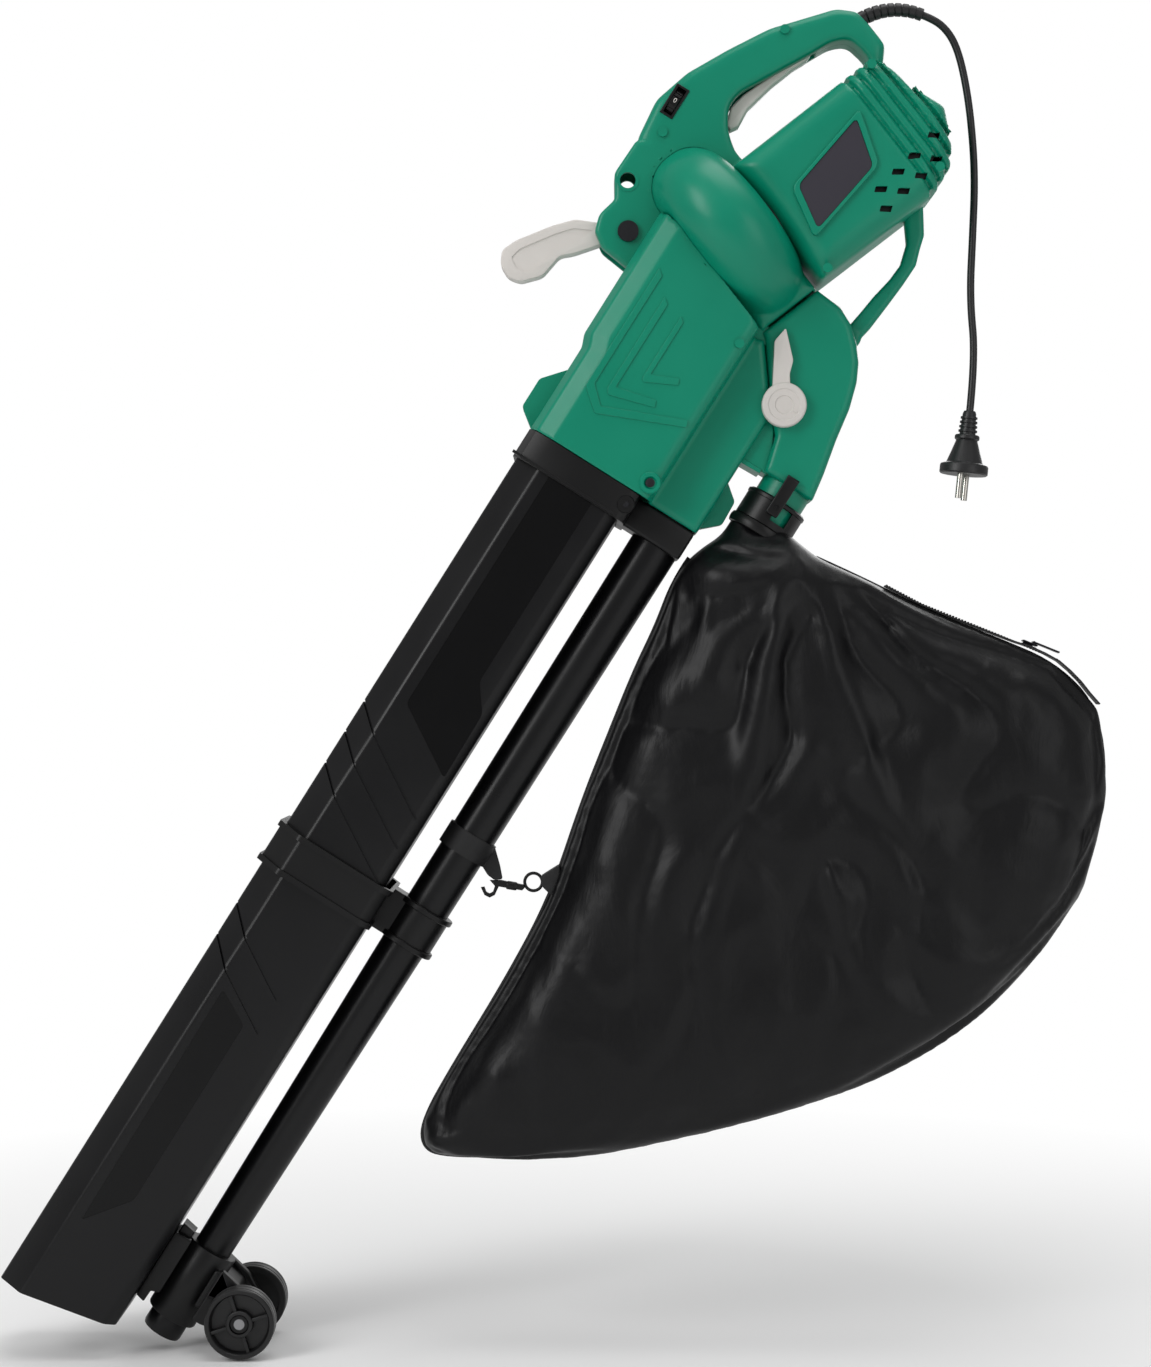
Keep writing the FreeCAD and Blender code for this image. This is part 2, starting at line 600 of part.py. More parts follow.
knob = Piece("mode_knob", MACHINE, at=(d.knob_x, 0, d.knob_level))
knob_low = -d.neck_half - d.part_gap - d.knob_height
knob.pad("XZ_Plane", [Circle(0, 0, d.knob_radius)], knob_low, -d.neck_half - d.part_gap)
knob.pad("XZ_Plane", [[(-30, 50), (-12, 32), (-9, 22), (-2, 12), (-12, 2), (-32, 37)]],
         knob_low, -d.neck_half - d.part_gap)
flap = Piece("mode_flap", MACHINE, at=(d.knob_x, 0, d.knob_level))
flap_half = d.neck_half - d.wall - d.part_gap
flap.pad("XZ_Plane", [Circle(0, 0, d.shaft_radius)], -d.neck_half - d.part_gap, d.neck_half + 2)
flap.pad("XZ_Plane", [Circle(0, 0, d.shaft_radius + 2)], -flap_half, flap_half)
reach_x, reach_z = d.flap_length * -0.514, d.flap_length * 0.857
flap.pad("XZ_Plane", [[(-1.4, -0.8), (1.4, 0.8), (reach_x + 1.4, reach_z + 0.8),
                       (reach_x - 1.4, reach_z - 0.8)]], -flap_half, flap_half)

guard = Piece("guard_bar", MACHINE)
guard.pad("XZ_Plane", [[
    from_motor(d.motor_right, 8), (168, -68), (172, -92), (170, -130), (164.5, -169.66),
    (152.5, -161.5), (157, -130), (161.5, -98), (157, -82), from_motor(d.motor_right, -14)]], -6, 6)

badges = Piece("badge_panels", MACHINE, solids=2)
for side in (NEAR, FAR):
    badges.pad("XZ_Plane", [[(74, -33), (104, -57), (94, -119), (64, -99)]],
               *depth(side, d.motor_half, d.motor_half + 1.2))


# ---------------------------------------------------------------- controls
trigger = Piece("trigger", MACHINE)
trigger.pad("XZ_Plane", [[(17.5, 1.5), (17, -5), (12, -15), (5, -35), (-1, -60), (0, -75), (-4, -81),
                          (-9, -79), (-13, -66), (-10, -52), (1, -27), (8.5, -6), (9.5, 1.5)]],
            -d.trigger_half, d.trigger_half)
trigger.pocket("XZ_Plane", [Circle(*TRIGGER_PIVOT, 2 + d.running_gap)], -d.trigger_half, d.trigger_half)
trigger_pin = Piece("trigger_pin", MACHINE)
trigger_pin.pad("XZ_Plane", [Circle(*TRIGGER_PIVOT, 2)], -12, 12)

switch = Piece("power_switch", MACHINE)
switch.pad("XZ_Plane", [box(-46, -100, -31, -66)], d.wall - d.grip_half, d.grip_half - d.wall)
switch.pocket("YZ_Plane", [Circle(-6.5, DIAL_CENTRE[1], 1.5 + d.running_gap)], -47, -40)
dial = Piece("speed_dial", MACHINE)
dial.pad("YZ_Plane", [Circle(-6.5, DIAL_CENTRE[1], d.dial_radius)], -54, -47.4)
dial.pad("YZ_Plane", [Circle(-6.5, DIAL_CENTRE[1], 1.5)], -47.4, -41)

assist = Piece("assist_handle", MACHINE, at=(d.assist_x, 0, d.assist_level))
assist.pad("XZ_Plane", [Circle(0, 0, 12)], -d.assist_half, d.assist_half)
assist.pad("XZ_Plane", [[(-4, 8), (-22, -4), (-40, -12), (-52, -25), (-70, -50), (-75, -62), (-70, -72),
                         (-60, -77), (-50, -75), (-38, -62), (-35, -42), (-27, -35), (-6, -9)]],
           -d.assist_half, d.assist_half)
assist.pocket("XZ_Plane", [Circle(0, 0, d.axle_radius + d.running_gap)], -d.assist_half, d.assist_half)
assist_bolt = Piece("assist_bolt", MACHINE, at=(d.assist_x, 0, d.assist_level))
assist_bolt.pad("XZ_Plane", [Circle(0, 0, d.axle_radius)], -d.grip_half - 1, d.grip_half + 1)
for side in (NEAR, FAR):
    assist_bolt.pad("XZ_Plane", [Circle(0, 0, 8)], *depth(side, d.grip_half, d.grip_half + 3))

screws = Piece("case_screws", MACHINE, solids=7)
motor_frame_screws = [from_motor(x, z) for x, z in motor_screws()]
for places, half in ((GRIP_SCREWS, d.grip_half), (motor_frame_screws, d.motor_half),
                     (DUCT_SCREWS, d.duct_half)):
    for x, z in places:
        screws.pad("XZ_Plane", [Circle(x, z, d.screw_radius)], -half, 10)
        screws.pad("XZ_Plane", [Circle(x, z, 3.6)], -half - 1.5, -half)

# ---------------------------------------------------------------- tubes
collar_low = d.duct_bottom - d.collar_height
collar = Piece("tube_collar", MACHINE)
bridge_half = 22
collar_left, collar_right = d.tube_left - 3, d.tube_right + 6
collar_half = d.tube_half + 3
collar.pad("XY_Plane", [
    [(collar_left, -collar_half), (collar_right, -collar_half), (collar_right, -bridge_half),
     (d.duct_right - 1, -bridge_half), (d.duct_right - 1, bridge_half), (collar_right, bridge_half),
     (collar_right, collar_half), (collar_left, collar_half)],
    tube_section(d.tube_left, d.tube_right, d.tube_half),
    Circle(d.pipe_x, 0, d.pipe_top_radius)], collar_low, d.duct_bottom)

lower_right = d.tube_right + d.tube_widen


def build_vacuum_tube(name, right, low, high):
    piece = Piece(name, MACHINE)
    outer = tube_section(d.tube_left, right, d.tube_half)
    inner = tube_section(d.tube_left, right, d.tube_half, -d.tube_wall)
    piece.pad("XY_Plane", [outer, inner], low, high)
    return piece


build_vacuum_tube("vacuum_tube_upper", d.tube_right, d.joint_level, d.duct_bottom)
mouth_tube = build_vacuum_tube("vacuum_tube_lower", lower_right, d.mouth_level - d.mouth_drop,
                               d.joint_level)
mouth_tube.pocket("XZ_Plane", [[
    (d.tube_left - 1, d.mouth_level - d.mouth_drop), (lower_right + 1, d.mouth_level),
    (lower_right + 1, d.mouth_level - d.mouth_drop - 5),
    (d.tube_left - 1, d.mouth_level - d.mouth_drop - 5)]], -d.duct_half, d.duct_half)

clip_low = d.joint_level - d.clip_half_height
clip_high = d.joint_level + d.clip_half_height


def pipe_profile(points):
    """A thin wall around the blower tube's axis from outer points (radius, height)."""
    outer = [(quantity(radius), quantity(height)) for radius, height in points]
    inner = [(radius - d.tube_wall, height) for radius, height in reversed(outer)]
    return outer + inner


for name, points in (
    ("blower_tube_upper", [(d.pipe_top_radius, d.duct_bottom), (d.pipe_top_radius, collar_low),
                           (d.pipe_joint_radius, clip_high), (d.pipe_joint_radius, d.joint_level)]),
    ("blower_tube_lower", [(d.pipe_joint_radius, d.joint_level), (d.pipe_joint_radius, clip_low),
                           (d.pipe_end_radius, d.bracket_top), (d.pipe_end_radius, d.pipe_end)]),
    ("blower_nozzle", [(d.pipe_end_radius - 1, d.pipe_end), (d.pipe_end_radius + 1, d.pipe_end - 3),
                       (d.pipe_end_radius + 1, d.pipe_end - d.nozzle_length + 3),
                       (d.pipe_end_radius - 2, d.pipe_end - d.nozzle_length)])):
    pipe = Piece(name, MACHINE)
    pipe.spin("Revolution", [pipe_profile(points)], d.pipe_x)

clip = Piece("joint_clip", MACHINE)


clip_wall = 3
bead_stand, bead_height = 2.5, 9
clip.pad("XY_Plane", [tube_section(d.tube_left, lower_right, d.tube_half, clip_wall),
                      tube_section(d.tube_left, d.tube_right, d.tube_half)], d.joint_level, clip_high)
clip.pad("XY_Plane", [tube_section(d.tube_left, lower_right, d.tube_half, clip_wall),
                      tube_section(d.tube_left, lower_right, d.tube_half)], clip_low, d.joint_level)
for level in (clip_low + 1, clip_high - bead_height - 1):
    clip.pad("XY_Plane", [tube_section(d.tube_left, lower_right, d.tube_half, clip_wall + bead_stand),
                          tube_section(d.tube_left, lower_right, d.tube_half, 1)],
             level, level + bead_height)
clip.pad("XY_Plane", [box(lower_right + 1, -10, d.pipe_x, 10)], clip_low, clip_high)
clip.pad("XY_Plane", [Circle(d.pipe_x, 0, d.pipe_joint_radius + clip_wall)], clip_low, clip_high)
clip.pocket("XY_Plane", [Circle(d.pipe_x, 0, d.pipe_joint_radius)], clip_low, clip_high)

# ---------------------------------------------------------------- wheels
bracket = Piece("bottom_bracket", MACHINE)
arm_half = d.wheel_inner - 0.5
bracket.pad("XZ_Plane", [box(lower_right, d.bracket_bottom, d.duct_right - 1, d.bracket_top)], -20, 20)
bracket.pad("XZ_Plane", [[
    (131, d.bracket_top), (158, d.axle_level + 14), (d.axle_x + 9, d.axle_level + 5),
    (d.axle_x + 9, d.axle_level - 5), (158, d.axle_level - 14), (131, d.bracket_bottom + 2)]],
    -arm_half, arm_half)
bracket.pocket("XY_Plane", [Circle(d.pipe_x, 0, d.pipe_end_radius)], d.bracket_bottom - 1, d.bracket_top + 1)
bracket.pocket("XY_Plane", [Circle(d.pipe_x, 0, d.pipe_end_radius + 1.6)],
               d.bracket_bottom - 1, d.pipe_end)
bracket.pocket("XZ_Plane", [Circle(d.axle_x, d.axle_level, d.axle_radius)], -arm_half, arm_half)

wheel_outer = d.wheel_inner + d.wheel_width
axle = Piece("wheel_axle", MACHINE, at=(d.axle_x, 0, d.axle_level))
axle.pad("XZ_Plane", [Circle(0, 0, d.axle_radius)], -wheel_outer + 1, wheel_outer - 1)
caps = Piece("axle_caps", MACHINE, at=(d.axle_x, 0, d.axle_level), solids=2)
for side in (NEAR, FAR):
    caps.pad("XZ_Plane", [Circle(0, 0, d.axle_radius + 2.5), Circle(0, 0, d.axle_radius)],
             *depth(side, wheel_outer - 4, wheel_outer - 1))


def build_wheel(name, side):
    """A wheel with a dished outer face, four spokes and a recess for its cap."""
    piece = Piece(name, MACHINE, at=(d.axle_x, 0, d.axle_level))
    piece.pad("XZ_Plane", [Circle(0, 0, d.wheel_radius), Circle(0, 0, d.axle_radius + d.running_gap)],
              *depth(side, d.wheel_inner, wheel_outer))
    piece.pocket("XZ_Plane", [Circle(0, 0, d.axle_radius + 3.2)],
                 *depth(side, wheel_outer - 4.3, wheel_outer))
    rim_x = d.wheel_radius - 7
    dish = piece.pocket("XZ_Plane", [[(7.5, -5.5), (rim_x * 0.9, -rim_x * 0.42), (rim_x, 0),
                                      (rim_x * 0.9, rim_x * 0.42), (7.5, 5.5), (9.3, 0)]],
                        *depth(side, wheel_outer - 6, wheel_outer))
    piece.repeat(dish, "Y_Axis", 4)


build_wheel("wheel_left", NEAR)
build_wheel("wheel_right", FAR)

# ---------------------------------------------------------------- bag
bag_collar_low = d.spigot_top - d.spigot_length - 5
bag_collar = Piece("bag_collar", MACHINE)
bag_collar.pad("XY_Plane", [Circle(d.spigot_x, 0, d.collar_radius),
                            Circle(d.spigot_x, 0, d.spigot_radius)], bag_collar_low, d.spigot_top - 12)
latch = Piece("bag_latch", MACHINE)
latch_reach = 5
latch_outer = -d.collar_radius - latch_reach
latch_inner = -d.collar_radius - d.part_gap
latch_hinge_z = d.spigot_top + latch_reach
latch.pad("XZ_Plane", [box(d.spigot_x - latch_reach, d.spigot_top - 26,
                           d.spigot_x + latch_reach, latch_hinge_z)], latch_outer, latch_inner)
latch.pad("YZ_Plane", [Circle((latch_outer + latch_inner) / 2, latch_hinge_z, (latch_inner - latch_outer) / 2)],
          d.spigot_x - latch_reach, d.spigot_x + latch_reach)

BAG_OUTLINE = [(-56, -377), (-78, -393), (-90, -410), (-103, -445), (-120, -480), (-160, -580),
               (-185, -655), (-220, -720), (-260, -785), (-285, -830), (-280, -853), (-210, -854),
               (-120, -840), (-20, -817), (70, -786), (130, -757), (185, -706), (225, -650),
               (244, -575), (238, -510), (205, -475), (160, -456), (100, -432), (60, -411)]
BAG_MIDDLE = (20, -630)


def bag_outline(scale):
    """The bag's outline, closed under its neck, drawn in or out about its middle."""
    ends = [to_row(d.spigot_x + d.collar_radius, bag_collar_low - d.part_gap),
            to_row(d.spigot_x - d.collar_radius, bag_collar_low - d.part_gap)]
    return [(BAG_MIDDLE[0] + (x - BAG_MIDDLE[0]) * scale, BAG_MIDDLE[1] + (z - BAG_MIDDLE[1]) * scale)
            for x, z in ends + BAG_OUTLINE]


def upright_sketch(name, outline, level):
    """A closed outline in the row frame's XZ plane, moved along Y."""
    sketch = document.addObject("Sketcher::SketchObject", name)
    draw_polygon(sketch, outline)
    sketch.Placement = Placement(Vector(0, level.value, 0), Rotation(Vector(1, 0, 0), 90))
    sketch.setExpression("Placement.Base.y", level.text)
    return sketch


def bag_skin(name, inset):
    """A pillow lofted through five outlines, drawn in by the cloth for the inner skin."""
    shrink = inset / 200
    sections = []
    for number, (share, scale) in enumerate(((-1, 0.72), (-0.72, 0.92), (0, 1), (0.72, 0.92), (1, 0.72))):
        level = (d.bag_half - inset) * share
        outline = bag_outline(scale - shrink)
        sections.append(upright_sketch(f"{name}_section_{number}", outline, level))
    loft = document.addObject("Part::Loft", name)
    loft.Sections = sections
    loft.Solid = True
    loft.Ruled = True
    return loft


def neck_cylinder(name, radius, low, high):
    """A cylinder along the spigot, between two machine frame levels."""
    cylinder = document.addObject("Part::Cylinder", name)
    x, z = to_row(d.spigot_x, low)
    cylinder.Placement = Placement(Vector(x.value, 0, z.value), Rotation(Vector(0, 1, 0), d.tilt.value))
    cylinder.setExpression("Placement.Base.x", x.text)
    cylinder.setExpression("Placement.Base.z", z.text)
    cylinder.setExpression("Placement.Rotation.Angle", f"{d.tilt.text} * 1 deg")
    cylinder.setExpression("Radius", radius.text)
    cylinder.setExpression("Height", (high - low).text)
    return cylinder


def joined(kind, name, base, tool):
    result = document.addObject(kind, name)
    result.Label = name
    result.Base = base
    result.Tool = tool
    return result


neck_top = bag_collar_low - d.part_gap
outer_skin = joined("Part::Fuse", "bag_outer", bag_skin("bag_outer_skin", quantity(0)),
                    neck_cylinder("bag_neck_outer", d.collar_radius, neck_top - 60, neck_top))
inner_skin = joined("Part::Fuse", "bag_inner", bag_skin("bag_inner_skin", d.cloth),
                    neck_cylinder("bag_neck_inner", d.collar_radius - d.cloth, neck_top - 70, neck_top + 5))
PIECES["collecting_bag"] = joined("Part::Cut", "collecting_bag", outer_skin, inner_skin)

ZIP_LINE = [(72, -417.2), (100, -432), (160, -456), (205, -475), (236, -508)]
zip_normal = (0.486, 0.874)
zip_start, zip_end = 0.5, 2.7
zipper = Piece("zipper", ROW)
zipper.pad("XZ_Plane", [
    [(x + zip_normal[0] * zip_start, z + zip_normal[1] * zip_start) for x, z in ZIP_LINE]
    + [(x + zip_normal[0] * zip_end, z + zip_normal[1] * zip_end) for x, z in reversed(ZIP_LINE)]], -7, 7)
zip_angle = quantity(22)
slider = Piece("zipper_slider", ROW, at=(183, 0, -462.4), lean=zip_angle)
slider.pad("XZ_Plane", [box(-6, 0, 6, 4)], -5, 5)
puller = Piece("zipper_pull", ROW, at=(183, 0, -462.4), lean=zip_angle)
pull_hinge = (2.5, 5.05)
puller.pad("XZ_Plane", [box(pull_hinge[0], 4.3, 24, 5.8)], -4, 4)
puller.pad("XZ_Plane", [Circle(*pull_hinge, 0.95)], -4, 4)

tube_strap = Piece("tube_strap", MACHINE)
strap_low, strap_high = -660, -642
strap_radius = d.pipe_joint_radius + 1.1
tube_strap.pad("XY_Plane", [Circle(d.pipe_x, 0, strap_radius + 1.4), Circle(d.pipe_x, 0, strap_radius)],
               strap_low, strap_high)
strap_edge = d.pipe_x + strap_radius + 0.7
tube_strap.pad("XZ_Plane", [[(strap_edge, strap_high), (strap_edge, strap_low), (149, -663), (154, -660)]],
               -1, 1)
hook = Piece("snap_hook", ROW)
hook.pad("XZ_Plane", [[(-230, -641.5), (-224.5, -641.4), (-222, -641.5), (-205, -645), (-206, -649.5),
                       (-224, -646.5), (-227, -653), (-235, -653), (-237.5, -647),
                       (-235, -647), (-233.5, -650.5), (-228.5, -650.5), (-227, -646)]], -2.5, 2.5)
ring = Piece("strap_ring", ROW)
ring.pad("XZ_Plane", [Circle(-197.3, -643, 8), Circle(-197.3, -643, 5.5)], -1.3, 1.3)
bag_strap = Piece("bag_strap", ROW)
bag_strap.pad("XZ_Plane", [[(-189.2, -640), (-188.2, -645), (-184.8, -650.4), (-177.3, -631.6)]], -9, 9)

# ---------------------------------------------------------------- cord and plug
RELIEF_CENTRE = (81.4, -25.3)
relief_end, relief_span = 70, 63
CORD_ROUTE = [(99.53, 24.5), (110.8, 20.4), (120.9, 11.9), (128.2, -0.8), (134.1, -23), (139.2, -56),
              (142.3, -100), (140.5, -146), (138.2, -194), (142.6, -239), (138.3, -281)]

relief = Piece("strain_relief", ROW, at=(RELIEF_CENTRE[0], 0, RELIEF_CENTRE[1]), lean=quantity(-relief_end))
profile = relief.sketch("XY_Plane", 0, [Circle(d.relief_bend, 0, d.relief_radius)])
bend = relief.body.newObject("PartDesign::Revolution", "strain_relief_bend")
bend.Profile = profile
bend.ReferenceAxis = (profile, ["V_Axis"])
bend.Angle = relief_span
bend.Reversed = True


def cord_path(points):
    """Straight runs joined by tangent arcs as large as the runs allow."""
    points = [Vector(x, 0, z) for x, z in points]
    edges = []
    start = points[0]
    for before, corner, after in zip(points, points[1:], points[2:]):
        towards = (before - corner).normalize()
        away = (after - corner).normalize()
        shorter = min((before - corner).Length, (after - corner).Length)
        half_turn = (math.pi - towards.getAngle(away)) / 2
        cut = 0.45 * shorter
        radius = cut / math.tan(half_turn)
        print(f"cord bend radius {radius:.1f} mm")
        first, last = corner + towards * cut, corner + away * cut
        centre = corner + (towards + away).normalize() * (radius / math.cos(half_turn))
        middle = centre + (corner - centre).normalize() * radius
        edges.append(Part.LineSegment(start, first).toShape())
        edges.append(Part.Arc(first, middle, last).toShape())
        start = last
    edges.append(Part.LineSegment(start, points[-1]).toShape())
    return Part.Wire(edges)


path = cord_path(CORD_ROUTE)
cord_radius = sheet.get("cord_radius")
first_run = Vector(CORD_ROUTE[1][0] - CORD_ROUTE[0][0], 0, CORD_ROUTE[1][1] - CORD_ROUTE[0][1])
section = Part.Wire(Part.Circle(Vector(CORD_ROUTE[0][0], 0, CORD_ROUTE[0][1]), first_run,
                                cord_radius).toShape())
cord = document.addObject("Part::Feature", "power_cord")
cord.Label = "power_cord"
cord.Shape = path.makePipeShell([section], True, True)
cord_volume = math.pi * cord_radius ** 2 * path.Length
print(f"cord length {path.Length:.1f} mm, volume ratio {cord.Shape.Volume / cord_volume:.5f}")
PIECES["power_cord"] = cord

plug_turn = math.degrees(math.atan2(CORD_ROUTE[-2][0] - CORD_ROUTE[-1][0],
                                    CORD_ROUTE[-2][1] - CORD_ROUTE[-1][1]))
plug_at = (CORD_ROUTE[-1][0], 0, CORD_ROUTE[-1][1])
flange_level = -46
plug = Piece("plug_body", ROW, at=plug_at, lean=quantity(round(plug_turn, 3)))
plug.spin("Revolution", [[(0, 0), (5, 0), (6.2, -18), (9.5, -19), (9.5, -22), (8, -23), (14, -40),
                          (18.5, flange_level + 4), (18.5, flange_level - 3), (0, flange_level - 3)]])
pins = Piece("plug_pins", ROW, at=plug_at, lean=quantity(round(plug_turn, 3)), solids=2)
pin_direction = (0.375, 0.927)
for side in (-0.5, 0.5):
    pins.pad("XY_Plane", [Circle(d.pin_spacing * (side * pin_direction[0]),
                                 d.pin_spacing * (side * pin_direction[1]), d.pin_radius)],
             flange_level - 3 - d.pin_length, quantity(flange_level - 3))

# ---------------------------------------------------------------- check and export
document.recompute()
faults = []
for item in document.Objects:
    if "Invalid" in item.State or "Error" in item.State:
        faults.append(f"{item.Name}: {item.State}")
for name, piece in PIECES.items():
    if piece.Shape.isNull() or not piece.Shape.isValid() or not piece.Shape.Solids:
        faults.append(f"{name}: no valid solid")
if faults:
    raise RuntimeError("; ".join(faults))
os.makedirs("parts", exist_ok=True)
for name, piece in PIECES.items():
    piece.Shape.exportStep(f"parts/{name}.step")
print(f"{len(PIECES)} pieces")
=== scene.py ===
"""The looks of a garden vacuum and leaf blower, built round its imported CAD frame.

Shapes are worked in millimetres in one of three leaning frames and written in metres in the row frame.
"""

import logging  # noqa: E402
from collections.abc import Iterable, Sequence  # noqa: E402
from dataclasses import dataclass, field  # noqa: E402
from enum import Enum  # noqa: E402
from math import cos, pi, radians, sin  # noqa: E402

import bmesh  # noqa: E402
import bpy  # noqa: E402
from bmesh.types import BMesh  # noqa: E402
from mathutils import Matrix, Vector, noise  # noqa: E402


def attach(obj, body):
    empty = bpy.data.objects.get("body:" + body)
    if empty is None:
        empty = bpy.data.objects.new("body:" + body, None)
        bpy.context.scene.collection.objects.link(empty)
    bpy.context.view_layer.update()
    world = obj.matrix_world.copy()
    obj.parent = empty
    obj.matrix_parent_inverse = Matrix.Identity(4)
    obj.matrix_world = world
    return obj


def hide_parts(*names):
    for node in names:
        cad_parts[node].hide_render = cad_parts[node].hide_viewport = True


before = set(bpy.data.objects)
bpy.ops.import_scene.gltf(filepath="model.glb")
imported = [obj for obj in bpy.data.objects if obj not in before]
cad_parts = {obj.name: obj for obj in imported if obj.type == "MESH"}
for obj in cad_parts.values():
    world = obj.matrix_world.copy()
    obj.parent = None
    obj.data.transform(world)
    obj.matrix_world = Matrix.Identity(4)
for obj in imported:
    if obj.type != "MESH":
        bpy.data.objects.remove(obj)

log = logging.getLogger("leaf_blower")
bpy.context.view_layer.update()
Point = tuple[float, float]
Outline = Sequence[Point]


class Frame(Enum):
    """The frames that sizes are given in, each by its lean about the Y axis in degrees."""

    ROW = 0.0
    MACHINE = 32.2
    MOTOR = 52.0

    def matrix(self) -> Matrix:
        """Turn from this frame in millimetres to the row frame in metres."""
        return Matrix.Rotation(radians(self.value), 4, "Y") @ Matrix.Scale(0.001, 4)

    def to(self, other: "Frame") -> Matrix:
        """Turn from this frame to another one, both in millimetres."""
        return Matrix.Rotation(radians(self.value - other.value), 4, "Y")


class Body(Enum):
    """The moving bodies that pieces ride on."""

    MACHINE = "machine"
    TRIGGER = "trigger_lever"
    DIAL = "dial"
    SIDE_HANDLE = "side_handle"
    SELECTOR = "selector"
    LEFT_WHEEL = "left_wheel"
    RIGHT_WHEEL = "right_wheel"
    LATCH = "latch"
    PULLER = "puller"


# ---------------------------------------------------------------- finishes


def linear(hex_colour: str) -> tuple[float, float, float, float]:
    """Turn an sRGB hex colour to the linear one that shaders take.

    Args:
        hex_colour: Six hex digits, with or without a leading hash.

    Returns:
        Red, green, blue and an alpha of 1.
    """
    digits = hex_colour.lstrip("#")
    channels = [int(digits[i : i + 2], 16) / 255 for i in (0, 2, 4)]
    return (*(c / 12.92 if c <= 0.04045 else ((c + 0.055) / 1.055) ** 2.4 for c in channels), 1.0)


def add_node(tree: bpy.types.NodeTree, kind: str, settings: dict | None = None, links: dict | None = None) -> bpy.types.Node:
    """Add one shader node.

    Args:
        tree: The node tree it joins.
        kind: Its Blender type name.
        settings: Values by input name or number, or by property name with a leading dot.
        links: The output that feeds each input, by input name or number.

    Returns:
        The new node.
    """
    node = tree.nodes.new(kind)
    for name, value in (settings or {}).items():
        if isinstance(name, str) and name.startswith("."):
            setattr(node, name[1:], value)
        else:
            node.inputs[name].default_value = value
    for name, output in (links or {}).items():
        tree.links.new(output, node.inputs[name])
    return node


@dataclass(frozen=True)
class Finish:
    """A surface as its maker would name it; the subclasses add its pattern."""

    name: str
    colour: str
    roughness: float = 0.4
    ior: float = 1.5
    metallic: float = 0.0
    specular: float = 0.5
    coat: float = 0.0
    sheen: float = 0.0

    def surface(self, tree: bpy.types.NodeTree) -> dict[str, bpy.types.NodeSocket]:
        """Make the pattern's nodes and return the sockets that feed the shader, by input name."""
        raise NotImplementedError

    def material(self) -> bpy.types.Material:
        """Return this finish's material, made the first time that it is asked for."""
        known = bpy.data.materials.get(self.name)
        if known is not None:
            return known
        made = bpy.data.materials.new(self.name)
        made.use_nodes = True
        made.diffuse_color = linear(self.colour)
        tree = made.node_tree
        tree.nodes.clear()
        settings = {
            "Base Color": linear(self.colour),
            "Roughness": self.roughness,
            "Metallic": self.metallic,
            "Specular IOR Level": self.specular,
            "Coat Weight": self.coat,
            "Coat Roughness": 0.08,
            "Sheen Weight": self.sheen,
            "Sheen Roughness": 0.45,
        }
        if not self.metallic:
            settings["IOR"] = self.ior
        shader = add_node(tree, "ShaderNodeBsdfPrincipled", settings, self.surface(tree))
        add_node(tree, "ShaderNodeOutputMaterial", links={"Surface": shader.outputs[0]})
        return made

    def tinted(self, tree: bpy.types.NodeTree, mask: bpy.types.NodeSocket, dark: float, light: float) -> bpy.types.NodeSocket:
        """Vary the base colour between two shades of itself.

        Args:
            tree: The material's tree.
            mask: What says where the lighter shade goes.
            dark: The darker shade, as a share of the colour.
            light: The lighter shade, as a share of the colour.

        Returns:
            The colour socket.
        """
        red, green, blue, _ = linear(self.colour)
        ramp = add_node(tree, "ShaderNodeValToRGB", links={"Fac": mask})
        for element, share in zip(ramp.color_ramp.elements, (dark, light)):
            element.color = (red * share, green * share, blue * share, 1.0)
        return ramp.outputs["Color"]


@dataclass(frozen=True)
class Moulded(Finish):
    """Injection moulding: an even shade with a fine spark-eroded grain and slow waves of gloss where it is handled."""

    grain_mm: float = 0.9
    grain_depth_mm: float = 0.02
    mottle_mm: float = 60.0

    def surface(self, tree: bpy.types.NodeTree) -> dict[str, bpy.types.NodeSocket]:
        """Make the grain, the slow colour change and the gloss."""
        place = add_node(tree, "ShaderNodeTexCoord").outputs["Object"]
        mottle = add_node(tree, "ShaderNodeTexNoise", {"Scale": 1000 / self.mottle_mm, "Detail": 3.0}, {"Vector": place})
        grain = add_node(tree, "ShaderNodeTexNoise", {"Scale": 1000 / self.grain_mm, "Detail": 2.0}, {"Vector": place})
        gloss = add_node(
            tree,
            "ShaderNodeMapRange",
            {"From Min": 0.3, "From Max": 0.7, "To Min": self.roughness * 0.85, "To Max": min(1.0, self.roughness * 1.18)},
            {"Value": mottle.outputs["Fac"]},
        )
        bump = add_node(tree, "ShaderNodeBump", {"Strength": 0.5, "Distance": self.grain_depth_mm / 1000}, {"Height": grain.outputs["Fac"]})
        return {
            "Base Color": self.tinted(tree, mottle.outputs["Fac"], 0.92, 1.06),
            "Roughness": gloss.outputs["Result"],
            "Normal": bump.outputs["Normal"],
        }


